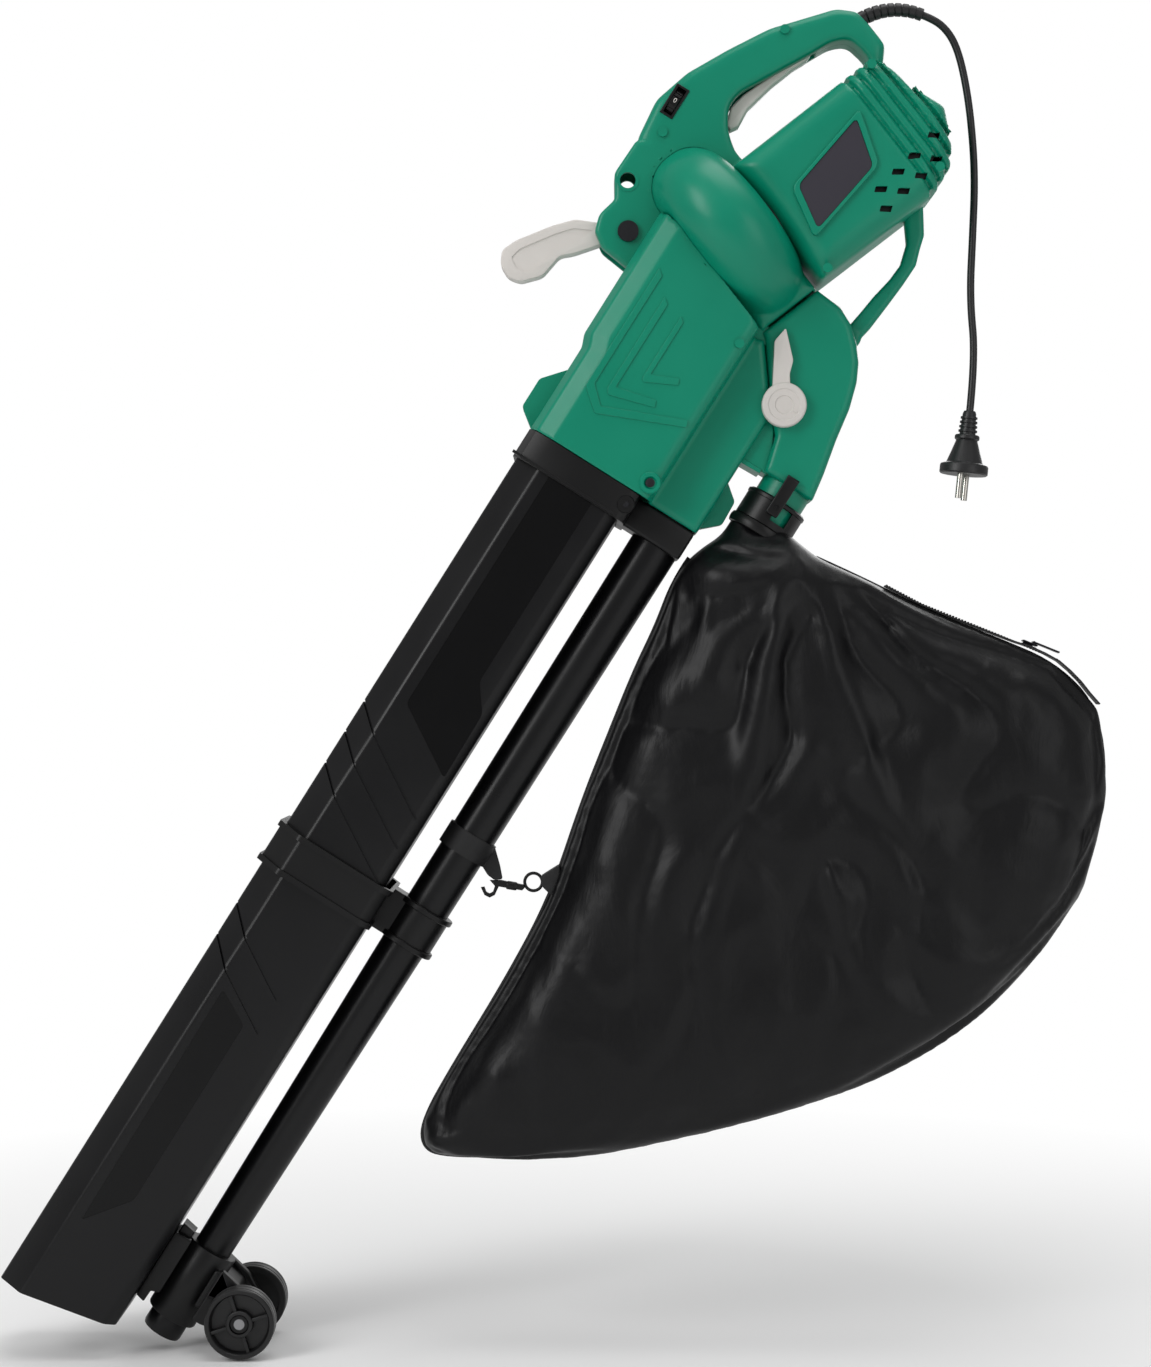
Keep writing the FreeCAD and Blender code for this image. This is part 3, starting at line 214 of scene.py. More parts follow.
@dataclass(frozen=True)
class Woven(Finish):
    """Plain-woven cloth: crossing threads, a soft sheen and small uneven creases, with painted shade in their hollows
    and painted highlight on their ridges.
    """

    thread_mm: float = 1.6
    thread_depth_mm: float = 0.12
    crease_mm: float = 38.0
    crease_depth_mm: float = 1.6

    def surface(self, tree: bpy.types.NodeTree) -> dict[str, bpy.types.NodeSocket]:
        """Make the threads, then the creases under them, with the colour painted darker in the creases' hollows and
        lighter on their ridges.
        """
        place = add_node(tree, "ShaderNodeTexCoord").outputs["Object"]
        threads = [
            add_node(
                tree,
                "ShaderNodeTexWave",
                {".bands_direction": axis, "Scale": 1000 / self.thread_mm / 20, "Distortion": 0.4},
                {"Vector": place},
            ).outputs["Fac"]
            for axis in ("X", "Z")
        ]
        weave = add_node(tree, "ShaderNodeMath", {".operation": "MULTIPLY"}, {0: threads[0], 1: threads[1]})
        stretch = add_node(tree, "ShaderNodeMapping", {"Scale": (1.0, 1.0, 0.45), "Rotation": (0.0, radians(18), 0.0)}, {"Vector": place})
        crease = add_node(
            tree,
            "ShaderNodeTexNoise",
            {"Scale": 1000 / self.crease_mm, "Detail": 5.0, "Roughness": 0.55, "Distortion": 0.9},
            {"Vector": stretch.outputs["Vector"]},
        )
        folds = add_node(tree, "ShaderNodeBump", {"Strength": 0.75, "Distance": self.crease_depth_mm / 1000}, {"Height": crease.outputs["Fac"]})
        bump = add_node(
            tree,
            "ShaderNodeBump",
            {"Strength": 0.5, "Distance": self.thread_depth_mm / 1000},
            {"Height": weave.outputs["Value"], "Normal": folds.outputs["Normal"]},
        )
        # The crease height also sets the base colour: painted shade in the hollows of the folds and painted highlight
        # on their ridges.
        return {"Base Color": self.tinted(tree, crease.outputs["Fac"], 0.75, 1.25), "Normal": bump.outputs["Normal"]}


@dataclass(frozen=True)
class Metal(Finish):
    """Worked metal: fine turning or brushing lines that spread the gloss one way."""

    line_mm: float = 0.6
    line_depth_mm: float = 0.02
    stretch: tuple[float, float, float] = (1.0, 1.0, 0.08)

    def surface(self, tree: bpy.types.NodeTree) -> dict[str, bpy.types.NodeSocket]:
        """Make the lines and the change of gloss along them."""
        place = add_node(tree, "ShaderNodeTexCoord").outputs["Object"]
        turned = add_node(tree, "ShaderNodeMapping", {"Scale": self.stretch}, {"Vector": place})
        lines = add_node(tree, "ShaderNodeTexNoise", {"Scale": 1000 / self.line_mm, "Detail": 2.0}, {"Vector": turned.outputs["Vector"]})
        gloss = add_node(
            tree,
            "ShaderNodeMapRange",
            {"To Min": self.roughness * 0.7, "To Max": min(1.0, self.roughness * 1.35)},
            {"Value": lines.outputs["Fac"]},
        )
        bump = add_node(tree, "ShaderNodeBump", {"Strength": 0.4, "Distance": self.line_depth_mm / 1000}, {"Height": lines.outputs["Fac"]})
        return {
            "Base Color": self.tinted(tree, lines.outputs["Fac"], 0.86, 1.08),
            "Roughness": gloss.outputs["Result"],
            "Normal": bump.outputs["Normal"],
        }


# Satin green ABS from a fine-etched tool: an even colour with broad soft highlights.
GREEN_ABS = Moulded("moulded_green_abs", "#00876A", roughness=0.34, ior=1.54, specular=0.3, grain_mm=1.1, grain_depth_mm=0.012)
# Black polypropylene tube: nearly black, a silky sheen down its flats.
BLACK_TUBE = Moulded("moulded_black_polypropylene", "#09090B", roughness=0.32, ior=1.49, specular=0.32, grain_mm=0.8)
# Polished black polypropylene in the tube's sunk panels: deeper black, sharper reflections.
BLACK_PANEL = Moulded("polished_black_polypropylene", "#020203", roughness=0.22, ior=1.49, specular=0.25, grain_depth_mm=0.004)
# Glass-filled black nylon of collars, clips and brackets: dull with a sparkle of grain.
BLACK_TRIM = Moulded("moulded_black_nylon", "#09090A", roughness=0.38, ior=1.53, specular=0.3, grain_mm=1.0, grain_depth_mm=0.03)
# Off-white ABS of the levers: warm, matt, slightly soft-edged.
OFF_WHITE = Moulded("moulded_off_white_abs", "#D6D1CC", roughness=0.42, ior=1.54, grain_mm=0.9, grain_depth_mm=0.015)
# Gloss acrylic badge plate with nothing on it: dark violet-grey, mirror-like.
BADGE_PLATE = Moulded("gloss_acrylic_plate", "#312E38", roughness=0.1, ior=1.49, coat=0.6, grain_depth_mm=0.002)
# PVC lead: smooth extruded skin with a soft sheen.
LEAD_PVC = Moulded("extruded_pvc_lead", "#101012", roughness=0.4, ior=1.53, grain_mm=2.0)
# Moulded rubbery PVC of plug and strain relief: a little duller than the lead.
PLUG_PVC = Moulded("moulded_soft_pvc", "#121214", roughness=0.42, ior=1.53, grain_mm=1.2)
# Hard black wheel plastic with a dull running face.
WHEEL_BLACK = Moulded("moulded_wheel_polypropylene", "#0A0A0B", roughness=0.4, ior=1.49, grain_mm=1.4, grain_depth_mm=0.05)
# Coated nylon bag cloth: near black, close weave (drawn about three times coarser than life so that it shows), with a
# faint sheen; its folds carry painted shade in their hollows and painted highlight on their ridges.
BAG_NYLON = Woven("coated_bag_nylon", "#060608", roughness=0.4, specular=0.27, sheen=0.01)
# Polyester webbing: coarse ribs across the strap.
WEBBING = Woven("woven_polyester_webbing", "#0B0B0D", roughness=0.62, sheen=0.04, thread_mm=1.8, thread_depth_mm=0.35, crease_depth_mm=0.2)
# Zip tape: a tight knitted band.
ZIP_TAPE = Woven("knitted_zip_tape", "#0E0E10", roughness=0.58, sheen=0.04, thread_mm=1.2, thread_depth_mm=0.2, crease_depth_mm=0.1)
# Nickel-plated brass pins and rings: bright, lightly brushed.
NICKEL = Metal("nickel_plated_brass", "#C9C6BF", roughness=0.22, metallic=1.0)
# Black-plated zinc of the zip slider and hook: dark, with a cold shine.
BLACK_ZINC = Metal("black_plated_zinc", "#2A2A2D", roughness=0.3, metallic=1.0)
# Ground steel of shafts, pins and screws.
STEEL = Metal("ground_steel", "#9A9A9C", roughness=0.3, metallic=1.0)
# Blackened screws in deep bosses.
BLACK_SCREW = Metal("blackened_steel_screw", "#3B3B3E", roughness=0.38, metallic=1.0)
# Stacked electrical steel: grey with the fine edges of its sheets.
LAMINATIONS = Metal("stacked_laminations", "#6F7072", roughness=0.45, metallic=1.0, line_mm=1.0, line_depth_mm=0.1, stretch=(0.1, 0.1, 1.0))
# Enamelled copper wire: warm red-brown ridges of wound turns.
COPPER = Metal("enamelled_copper_wire", "#B4633A", roughness=0.34, metallic=1.0, line_mm=1.2, line_depth_mm=0.2, stretch=(1.0, 1.0, 0.2))
# Drawn brass of the brush holders.
BRASS = Metal("drawn_brass", "#C4A253", roughness=0.28, metallic=1.0)
# Pressed carbon of the brushes: matt charcoal with a fine sparkle.
CARBON = Moulded("pressed_carbon", "#232325", roughness=0.62, ior=1.7, grain_mm=0.6, grain_depth_mm=0.05)


# ---------------------------------------------------------------- mesh tools


def rim_edges(bm: BMesh) -> list[bmesh.types.BMEdge]:
    """Return the edges where a face across Y meets the side wall."""
    return [
        e
        for e in bm.edges
        if len(e.link_faces) == 2 and abs(abs(e.link_faces[0].normal.y) - abs(e.link_faces[1].normal.y)) > 0.5
    ]


def bevel(bm: BMesh, geometry: Iterable, offset: float, segments: int = 4, affect: str = "EDGES", clamp: bool = True) -> None:
    """Round edges or corners by an arc.

    Args:
        bm: The mesh.
        geometry: The edges, or the corners' vertices.
        offset: The arc's reach in millimetres.
        segments: How many facets it has.
        affect: EDGES or VERTICES.
        clamp: Whether the arc stops where it would cross another.
    """
    bmesh.ops.bevel(
        bm,
        geom=list(geometry),
        offset=offset,
        offset_type="OFFSET",
        segments=segments,
        profile=0.5,
        affect=affect,
        material=-1,
        clamp_overlap=clamp,
    )


def slab(outline: Outline, low: float, high: float, corner: float = 0.0, edge: float = 0.0, segments: int = 4, clamp: bool = True) -> BMesh:
    """Extrude a flat outline in X and Z along Y and round it.

    Args:
        outline: The corners in order, in millimetres.
        low: The nearer face's Y.
        high: The further face's Y.
        corner: The rounding of the outline's corners.
        edge: The rounding of the two rims.
        segments: The facets in each arc.
        clamp: Whether the roundings stop before they cross.

    Returns:
        The closed solid.
    """
    bm = bmesh.new()
    face = bm.faces.new([bm.verts.new((x, low, z)) for x, z in outline])
    if corner:
        bevel(bm, bm.verts[:], corner, segments, "VERTICES")
        face = bm.faces[:][0]
    made = bmesh.ops.extrude_face_region(bm, geom=[face], use_keep_orig=True)
    bmesh.ops.translate(bm, vec=(0, high - low, 0), verts=[v for v in made["geom"] if isinstance(v, bmesh.types.BMVert)])
    bmesh.ops.recalc_face_normals(bm, faces=bm.faces[:])
    bm.normal_update()
    if edge:
        bevel(bm, rim_edges(bm), edge, segments, clamp=clamp)
    return bm


def box(x: Point, y: Point, z: Point, edge: float = 0.0) -> BMesh:
    """Make a block between two values on each axis, with its edges rounded."""
    bm = bmesh.new()
    middle = [(a + b) / 2 for a, b in (x, y, z)]
    sizes = [b - a for a, b in (x, y, z)]
    bmesh.ops.create_cube(bm, size=1.0, matrix=Matrix.Translation(middle) @ Matrix.Diagonal((*sizes, 1.0)))
    if edge:
        bevel(bm, bm.edges[:], edge, 3)
    return bm


def spun(profile: Outline, steps: int = 64, at: Sequence[float] = (0, 0, 0), axis: str = "Z") -> BMesh:
    """Turn a profile of radius and height round an axis.

    Args:
        profile: Radius and height, in order; it is closed where the last point repeats the first.
        steps: The facets round the axis.
        at: Where the axis starts.
        axis: The axis that heights run along.

    Returns:
        The turned mesh, closed where the profile is closed or ends on the axis.
    """
    bm = bmesh.new()
    closed = profile[0] == profile[-1]
    verts = [bm.verts.new((r, 0, h)) for r, h in (profile[:-1] if closed else profile)]
    edges = [bm.edges.new(pair) for pair in zip(verts, verts[1:] + verts[:1] if closed else verts[1:])]
    bmesh.ops.spin(bm, geom=verts + edges, cent=(0, 0, 0), axis=(0, 0, 1), angle=2 * pi, steps=steps, use_merge=True)
    bmesh.ops.remove_doubles(bm, verts=bm.verts[:], dist=0.001)
    bmesh.ops.recalc_face_normals(bm, faces=bm.faces[:])
    turn = {"Z": Matrix(), "Y": Matrix.Rotation(-pi / 2, 4, "X"), "X": Matrix.Rotation(pi / 2, 4, "Y")}[axis]
    return moved(bm, Matrix.Translation(at) @ turn)


def moved(bm: BMesh, matrix: Matrix) -> BMesh:
    """Transform a whole mesh and return it."""
    bmesh.ops.transform(bm, matrix=matrix, verts=bm.verts[:])
    return bm


def mirrored(bm: BMesh) -> BMesh:
    """Return a copy of a mesh on the other side of Y = 0, facing outwards."""
    other = bm.copy()
    bmesh.ops.scale(other, vec=(1, -1, 1), verts=other.verts[:])
    bmesh.ops.reverse_faces(other, faces=other.faces[:])
    return other


def joined(*parts: BMesh) -> BMesh:
    """Put several meshes in one, and free the rest."""
    whole = bmesh.new()
    for part in parts:
        carrier = bpy.data.meshes.new("carrier")
        part.to_mesh(carrier)
        whole.from_mesh(carrier)
        bpy.data.meshes.remove(carrier)
        part.free()
    return whole


def scratch(bm: BMesh) -> bpy.types.Object:
    """Make a short-lived object of a mesh, and free the mesh."""
    mesh = bpy.data.meshes.new("scratch")
    bm.to_mesh(mesh)
    bm.free()
    made = bpy.data.objects.new("scratch", mesh)
    bpy.context.scene.collection.objects.link(made)
    return made


def evaluated(worked: bpy.types.Object, *helpers: bpy.types.Object) -> BMesh:
    """Apply an object's modifiers, and remove it and its helpers.

    Args:
        worked: The object with the modifiers.
        helpers: Objects that the modifiers use.

    Returns:
        The mesh as the modifiers leave it.
    """
    graph = bpy.context.evaluated_depsgraph_get()
    bm = bmesh.new()
    bm.from_object(worked, graph)
    for made in (worked, *helpers):
        mesh = made.data
        bpy.data.objects.remove(made)
        bpy.data.meshes.remove(mesh)
    return bm


def carved(solid: BMesh, cutter: BMesh, operation: str = "DIFFERENCE") -> BMesh:
    """Cut one solid by another, or join or intersect them."""
    worked, tool = scratch(solid), scratch(cutter)
    modifier = worked.modifiers.new("carve", "BOOLEAN")
    modifier.operation, modifier.object, modifier.solver = operation, tool, "EXACT"
    modifier.use_self = True
    return evaluated(worked, tool)


def blended(solid: BMesh, voxel: float, smoothing: int) -> BMesh:
    """Melt overlapping solids into one skin with soft edges.

    Args:
        solid: The solids, overlapping as they like.
        voxel: The skin's facet size in millimetres.
        smoothing: How many times it is relaxed.

    Returns:
        The one closed skin.
    """
    worked = scratch(solid)
    remesh = worked.modifiers.new("skin", "REMESH")
    remesh.mode, remesh.voxel_size, remesh.adaptivity = "VOXEL", voxel, 0.0
    relax = worked.modifiers.new("relax", "SMOOTH")
    relax.factor, relax.iterations = 0.5, smoothing
    return evaluated(worked)


def hollowed(skin: BMesh, wall: float) -> BMesh:
    """Give a skin a wall of this thickness, inwards, closed at its open rims."""
    worked = scratch(skin)
    wall_maker = worked.modifiers.new("wall", "SOLIDIFY")
    wall_maker.thickness, wall_maker.offset, wall_maker.use_even_offset = wall, -1.0, False
    return evaluated(worked)


def opened(bm: BMesh, point: Sequence[float], normal: Sequence[float]) -> BMesh:
    """Cut a mesh at a plane and drop what is on the side that the normal points to, leaving it open there."""
    bmesh.ops.bisect_plane(bm, geom=bm.verts[:] + bm.edges[:] + bm.faces[:], dist=0.0001, plane_co=point, plane_no=normal, clear_outer=True)
    return bm


def halved(solid: BMesh, side: int, wall: float, gap: float = 0.25) -> BMesh:
    """Keep one side of Y = 0 of a closed skin as a thin shell.

    Args:
        solid: The whole skin, which is left as it is.
        side: -1 for the nearer half, 1 for the further one.
        wall: The wall's thickness.
        gap: How far the half stays from the parting plane, which leaves a fine line.

    Returns:
        The half shell.
    """
    return hollowed(opened(solid.copy(), (0, side * gap, 0), (0, -side, 0)), wall)


def piece(
    bm: BMesh,
    name: str,
    frame_of: Frame,
    finish: Finish,
    body: Body = Body.MACHINE,
    replaces: Sequence[str] = (),
    sharp: float = 38.0,
) -> bpy.types.Object:
    """Write a mesh as a finished piece at the origin, riding on its body.

    Args:
        bm: The mesh in millimetres, which is freed.
        name: The piece's name.
        frame_of: The frame that the mesh was worked in.
        finish: Its finish.
        body: The body that it rides on.
        replaces: The CAD nodes that it stands for.
        sharp: The angle in degrees past which an edge stays crisp.

    Returns:
        The object.
    """
    moved(bm, frame_of.matrix())
    mesh = bpy.data.meshes.new(name)
    bm.to_mesh(mesh)
    bm.free()
    mesh.shade_smooth()
    mesh.set_sharp_from_angle(angle=radians(sharp))
    made = bpy.data.objects.new(name, mesh)
    bpy.context.scene.collection.objects.link(made)
    return settled(made, finish, body, replaces)


def settled(made: bpy.types.Object, finish: Finish, body: Body, replaces: Sequence[str]) -> bpy.types.Object:
    """Give a new object its finish, its body and the nodes that it stands for."""
    made.data.materials.clear()
    made.data.materials.append(finish.material())
    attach(made, body.value)
    if replaces:
        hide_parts(*replaces)
    size = len(made.data.polygons) if made.type == "MESH" else 0
    log.info("%s rides on %s, %d faces", made.name, body.value, size)
    return made


def dress(name: str, finish: Finish) -> None:
    """Give a CAD node that stays a better material."""
    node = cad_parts[name]
    for entry in node.material_slots:
        entry.material = finish.material()
    if not node.material_slots:
        node.data.materials.append(finish.material())
    log.info("%s keeps its shape as %s", name, finish.name)


# ---------------------------------------------------------------- camera, light and floor


@dataclass
class Studio:
    """A pale sweep of floor, soft lamps and the camera."""

    camera_at: tuple[float, float, float] = (-0.165, -1.9, -0.4904)
    lens_mm: float = 65.05
    floor_z: float = -1.0

    def build(self) -> None:
        """Place the camera, the lamps, the world and the floor."""
        scene = bpy.context.scene
        scene.view_settings.view_transform = "Standard"
        data = bpy.data.cameras.new("camera")
        data.lens, data.sensor_width, data.sensor_fit = self.lens_mm, 36.0, "AUTO"
        camera = bpy.data.objects.new("camera", data)
        camera.location, camera.rotation_euler = self.camera_at, (pi / 2, 0, 0)
        scene.collection.objects.link(camera)
        scene.camera = camera
        self.lamp("key", (-2.6, -2.2, 1.1), (-0.2, 0, -0.45), (1.3, 2.2), 50)
        self.lamp("fill", (1.9, -2.6, 0.2), (0.0, 0, -0.4), (1.6, 2.0), 13)
        self.lamp("top", (0.2, -0.3, 2.2), (-0.1, 0, -0.4), (2.2, 1.6), 30)
        self.lamp("back", (0.8, 2.4, 0.8), (-0.1, 0, -0.5), (2.0, 1.6), 24)
        self.world()
        self.floor()

    def lamp(self, name: str, at: Sequence[float], aim: Sequence[float], size: Point, watts: float) -> None:
        """Hang one rectangular lamp that points at a place."""
        data = bpy.data.lights.new(name, "AREA")
        data.shape, data.size, data.size_y, data.energy = "RECTANGLE", size[0], size[1], watts
        lamp = bpy.data.objects.new(name, data)
        lamp.location = at
        lamp.rotation_euler = (Vector(aim) - Vector(at)).to_track_quat("-Z", "Y").to_euler()
        bpy.context.scene.collection.objects.link(lamp)

    def world(self) -> None:
        """A grey light all round, seen as white by the camera and by rays through clear surfaces."""
        made = bpy.data.worlds.new("studio")
        made.use_nodes = True
        tree = made.node_tree
        tree.nodes.clear()
        ray = add_node(tree, "ShaderNodeLightPath")
        seen = add_node(tree, "ShaderNodeMath", {".operation": "MAXIMUM"}, {0: ray.outputs["Is Camera Ray"], 1: ray.outputs["Is Transmission Ray"]})
        dim = add_node(tree, "ShaderNodeBackground", {"Color": (1, 1, 1, 1), "Strength": 0.36})
        white = add_node(tree, "ShaderNodeBackground", {"Color": (1, 1, 1, 1), "Strength": 1.0})
        mix = add_node(tree, "ShaderNodeMixShader", links={0: seen.outputs[0], 1: dim.outputs[0], 2: white.outputs[0]})
        add_node(tree, "ShaderNodeOutputWorld", links={"Surface": mix.outputs[0]})
        bpy.context.scene.world = made

    def floor(self) -> None:
        """A round pale floor whose colour goes to white away from the object."""
        bm = bmesh.new()
        bmesh.ops.create_circle(bm, cap_ends=True, segments=96, radius=14.0, matrix=Matrix.Translation((-0.15, 0, self.floor_z)))
        mesh = bpy.data.meshes.new("floor")
        bm.to_mesh(mesh)
        bm.free()
        made = bpy.data.objects.new("floor", mesh)
        bpy.context.scene.collection.objects.link(made)
        material = bpy.data.materials.new("pale_floor")
        material.use_nodes = True
        tree = material.node_tree
        tree.nodes.clear()
        place = add_node(tree, "ShaderNodeTexCoord").outputs["Object"]
        away = add_node(tree, "ShaderNodeVectorMath", {".operation": "DISTANCE", 1: (-0.15, 0, self.floor_z)}, {0: place})
        edge = add_node(tree, "ShaderNodeMapRange", {"From Min": 0.35, "From Max": 1.1}, {"Value": away.outputs["Value"]})
        ray = add_node(tree, "ShaderNodeLightPath")
        white = add_node(tree, "ShaderNodeMath", {".operation": "MULTIPLY"}, {0: edge.outputs["Result"], 1: ray.outputs["Is Camera Ray"]})
        pale = add_node(tree, "ShaderNodeBsdfDiffuse", {"Color": linear("#F2F2F2")})
        glow = add_node(tree, "ShaderNodeEmission", {"Color": (1, 1, 1, 1), "Strength": 1.0})
        mix = add_node(tree, "ShaderNodeMixShader", links={0: white.outputs[0], 1: pale.outputs[0], 2: glow.outputs[0]})
        add_node(tree, "ShaderNodeOutputMaterial", links={"Surface": mix.outputs[0]})
        made.data.materials.append(material)


# ---------------------------------------------------------------- lead and plug


@dataclass
class Lead:
    """The mains lead: relief, cord and two-pin plug, in the row frame."""

    route: Outline = (
        (99.53, 24.5),
        (110.8, 20.4),
        (120.9, 11.9),
        (128.2, -0.8),
        (134.1, -23),
        (139.2, -56),
        (142.3, -100),
        (140.5, -146),
        (138.2, -194),
        (142.6, -239),
        (138.3, -281),
    )
    diameter: float = 5.8
    length: float = 321.3
    relief_centre: Point = (81.4, -25.3)
    relief_bend: float = 53.0
    plug_profile: Outline = (
        (0, 0),
        (4.4, 0),
        (5.2, -2),
        (6.2, -18),
        (8.9, -18.6),
        (9.5, -19.4),
        (9.5, -21.6),
        (8.2, -22.8),
        (8.6, -24),
        (11.2, -32),
        (14, -40),
        (18, -41.6),
        (18.5, -42.6),
        (18.5, -48),
        (17.6, -49),
        (0, -49),
    )
    grip_ring_radii: Sequence[float] = (5.75, 6.0, 6.25, 6.5)

    def build(self) -> None:
        """Make the cord first, then what is on its ends."""
        curve = bpy.data.curves.new("power_cord_line", "CURVE")
        curve.dimensions, curve.bevel_depth, curve.bevel_resolution = "3D", self.diameter / 2000, 6
        curve.resolution_u, curve.use_fill_caps = 12, True
        line = curve.splines.new("NURBS")
        line.points.add(len(self.route) - 1)
        for point, (x, z) in zip(line.points, self.route):
            point.co = (x / 1000, 0.0, z / 1000, 1.0)
        line.order_u, line.use_endpoint_u = 3, True
        cord = bpy.data.objects.new("power_lead", curve)
        bpy.context.scene.collection.objects.link(cord)
        settled(cord, LEAD_PVC, Body.MACHINE, ("power_cord",))
        plug = self.plug()
        dress("plug_pins", NICKEL)
        self.relief()

    def plug(self) -> bpy.types.Object:
        """Turn the plug's body with its flange and grip rings, at the cord's end."""
        body = spun(self.plug_profile, 56)
        rings = [spun(((4, -4 - 3.4 * i), (r + 0.7, -4.5 - 3.4 * i), (r + 0.7, -6 - 3.4 * i), (4, -6.5 - 3.4 * i), (4, -4 - 3.4 * i)), 48) for i, r in enumerate(self.grip_ring_radii)]
        lean = Matrix.Rotation(radians(5.85), 4, "Y")
        whole = moved(joined(body, *rings), Matrix.Translation((self.route[-1][0], 0, self.route[-1][1])) @ lean)
        return piece(whole, "plug", Frame.ROW, PLUG_PVC, Body.MACHINE, ("plug_body",))

    def relief(self) -> None:
        """Sweep the slotted relief round its bend, thick rings at the housing and thinner ones outwards."""
        parts = []
        count = 11
        for i in range(count):
            angle = radians(131 - (131 - 70) * i / (count - 1))
            at = (self.relief_centre[0] + self.relief_bend * cos(angle), 0, self.relief_centre[1] + self.relief_bend * sin(angle))
            radius = 5.9 - 1.1 * i / (count - 1)
            half = 2.45
            ring = spun(((0, -half), (radius - 0.5, -half), (radius, -half + 0.5), (radius, half - 0.5), (radius - 0.5, half), (0, half)), 40)
            parts.append(moved(ring, Matrix.Translation(at) @ Matrix.Rotation(-angle, 4, "Y")))
        sleeve = bmesh.new()
        start = radians(135)
        middle = Vector((self.relief_centre[0], 0, self.relief_centre[1]))
        at = middle + Vector((self.relief_bend * cos(start), 0, self.relief_bend * sin(start)))
        bmesh.ops.create_circle(sleeve, cap_ends=True, segments=32, radius=4.3, matrix=Matrix.Translation(at) @ Matrix.Rotation(-start, 4, "Y"))
        bmesh.ops.spin(sleeve, geom=sleeve.faces[:], cent=middle, axis=(0, 1, 0), angle=radians(66), steps=24)
        bmesh.ops.recalc_face_normals(sleeve, faces=sleeve.faces[:])
        piece(joined(sleeve, *parts), "cord_strain_relief", Frame.ROW, PLUG_PVC, Body.MACHINE, ("strain_relief",))


# ---------------------------------------------------------------- green head


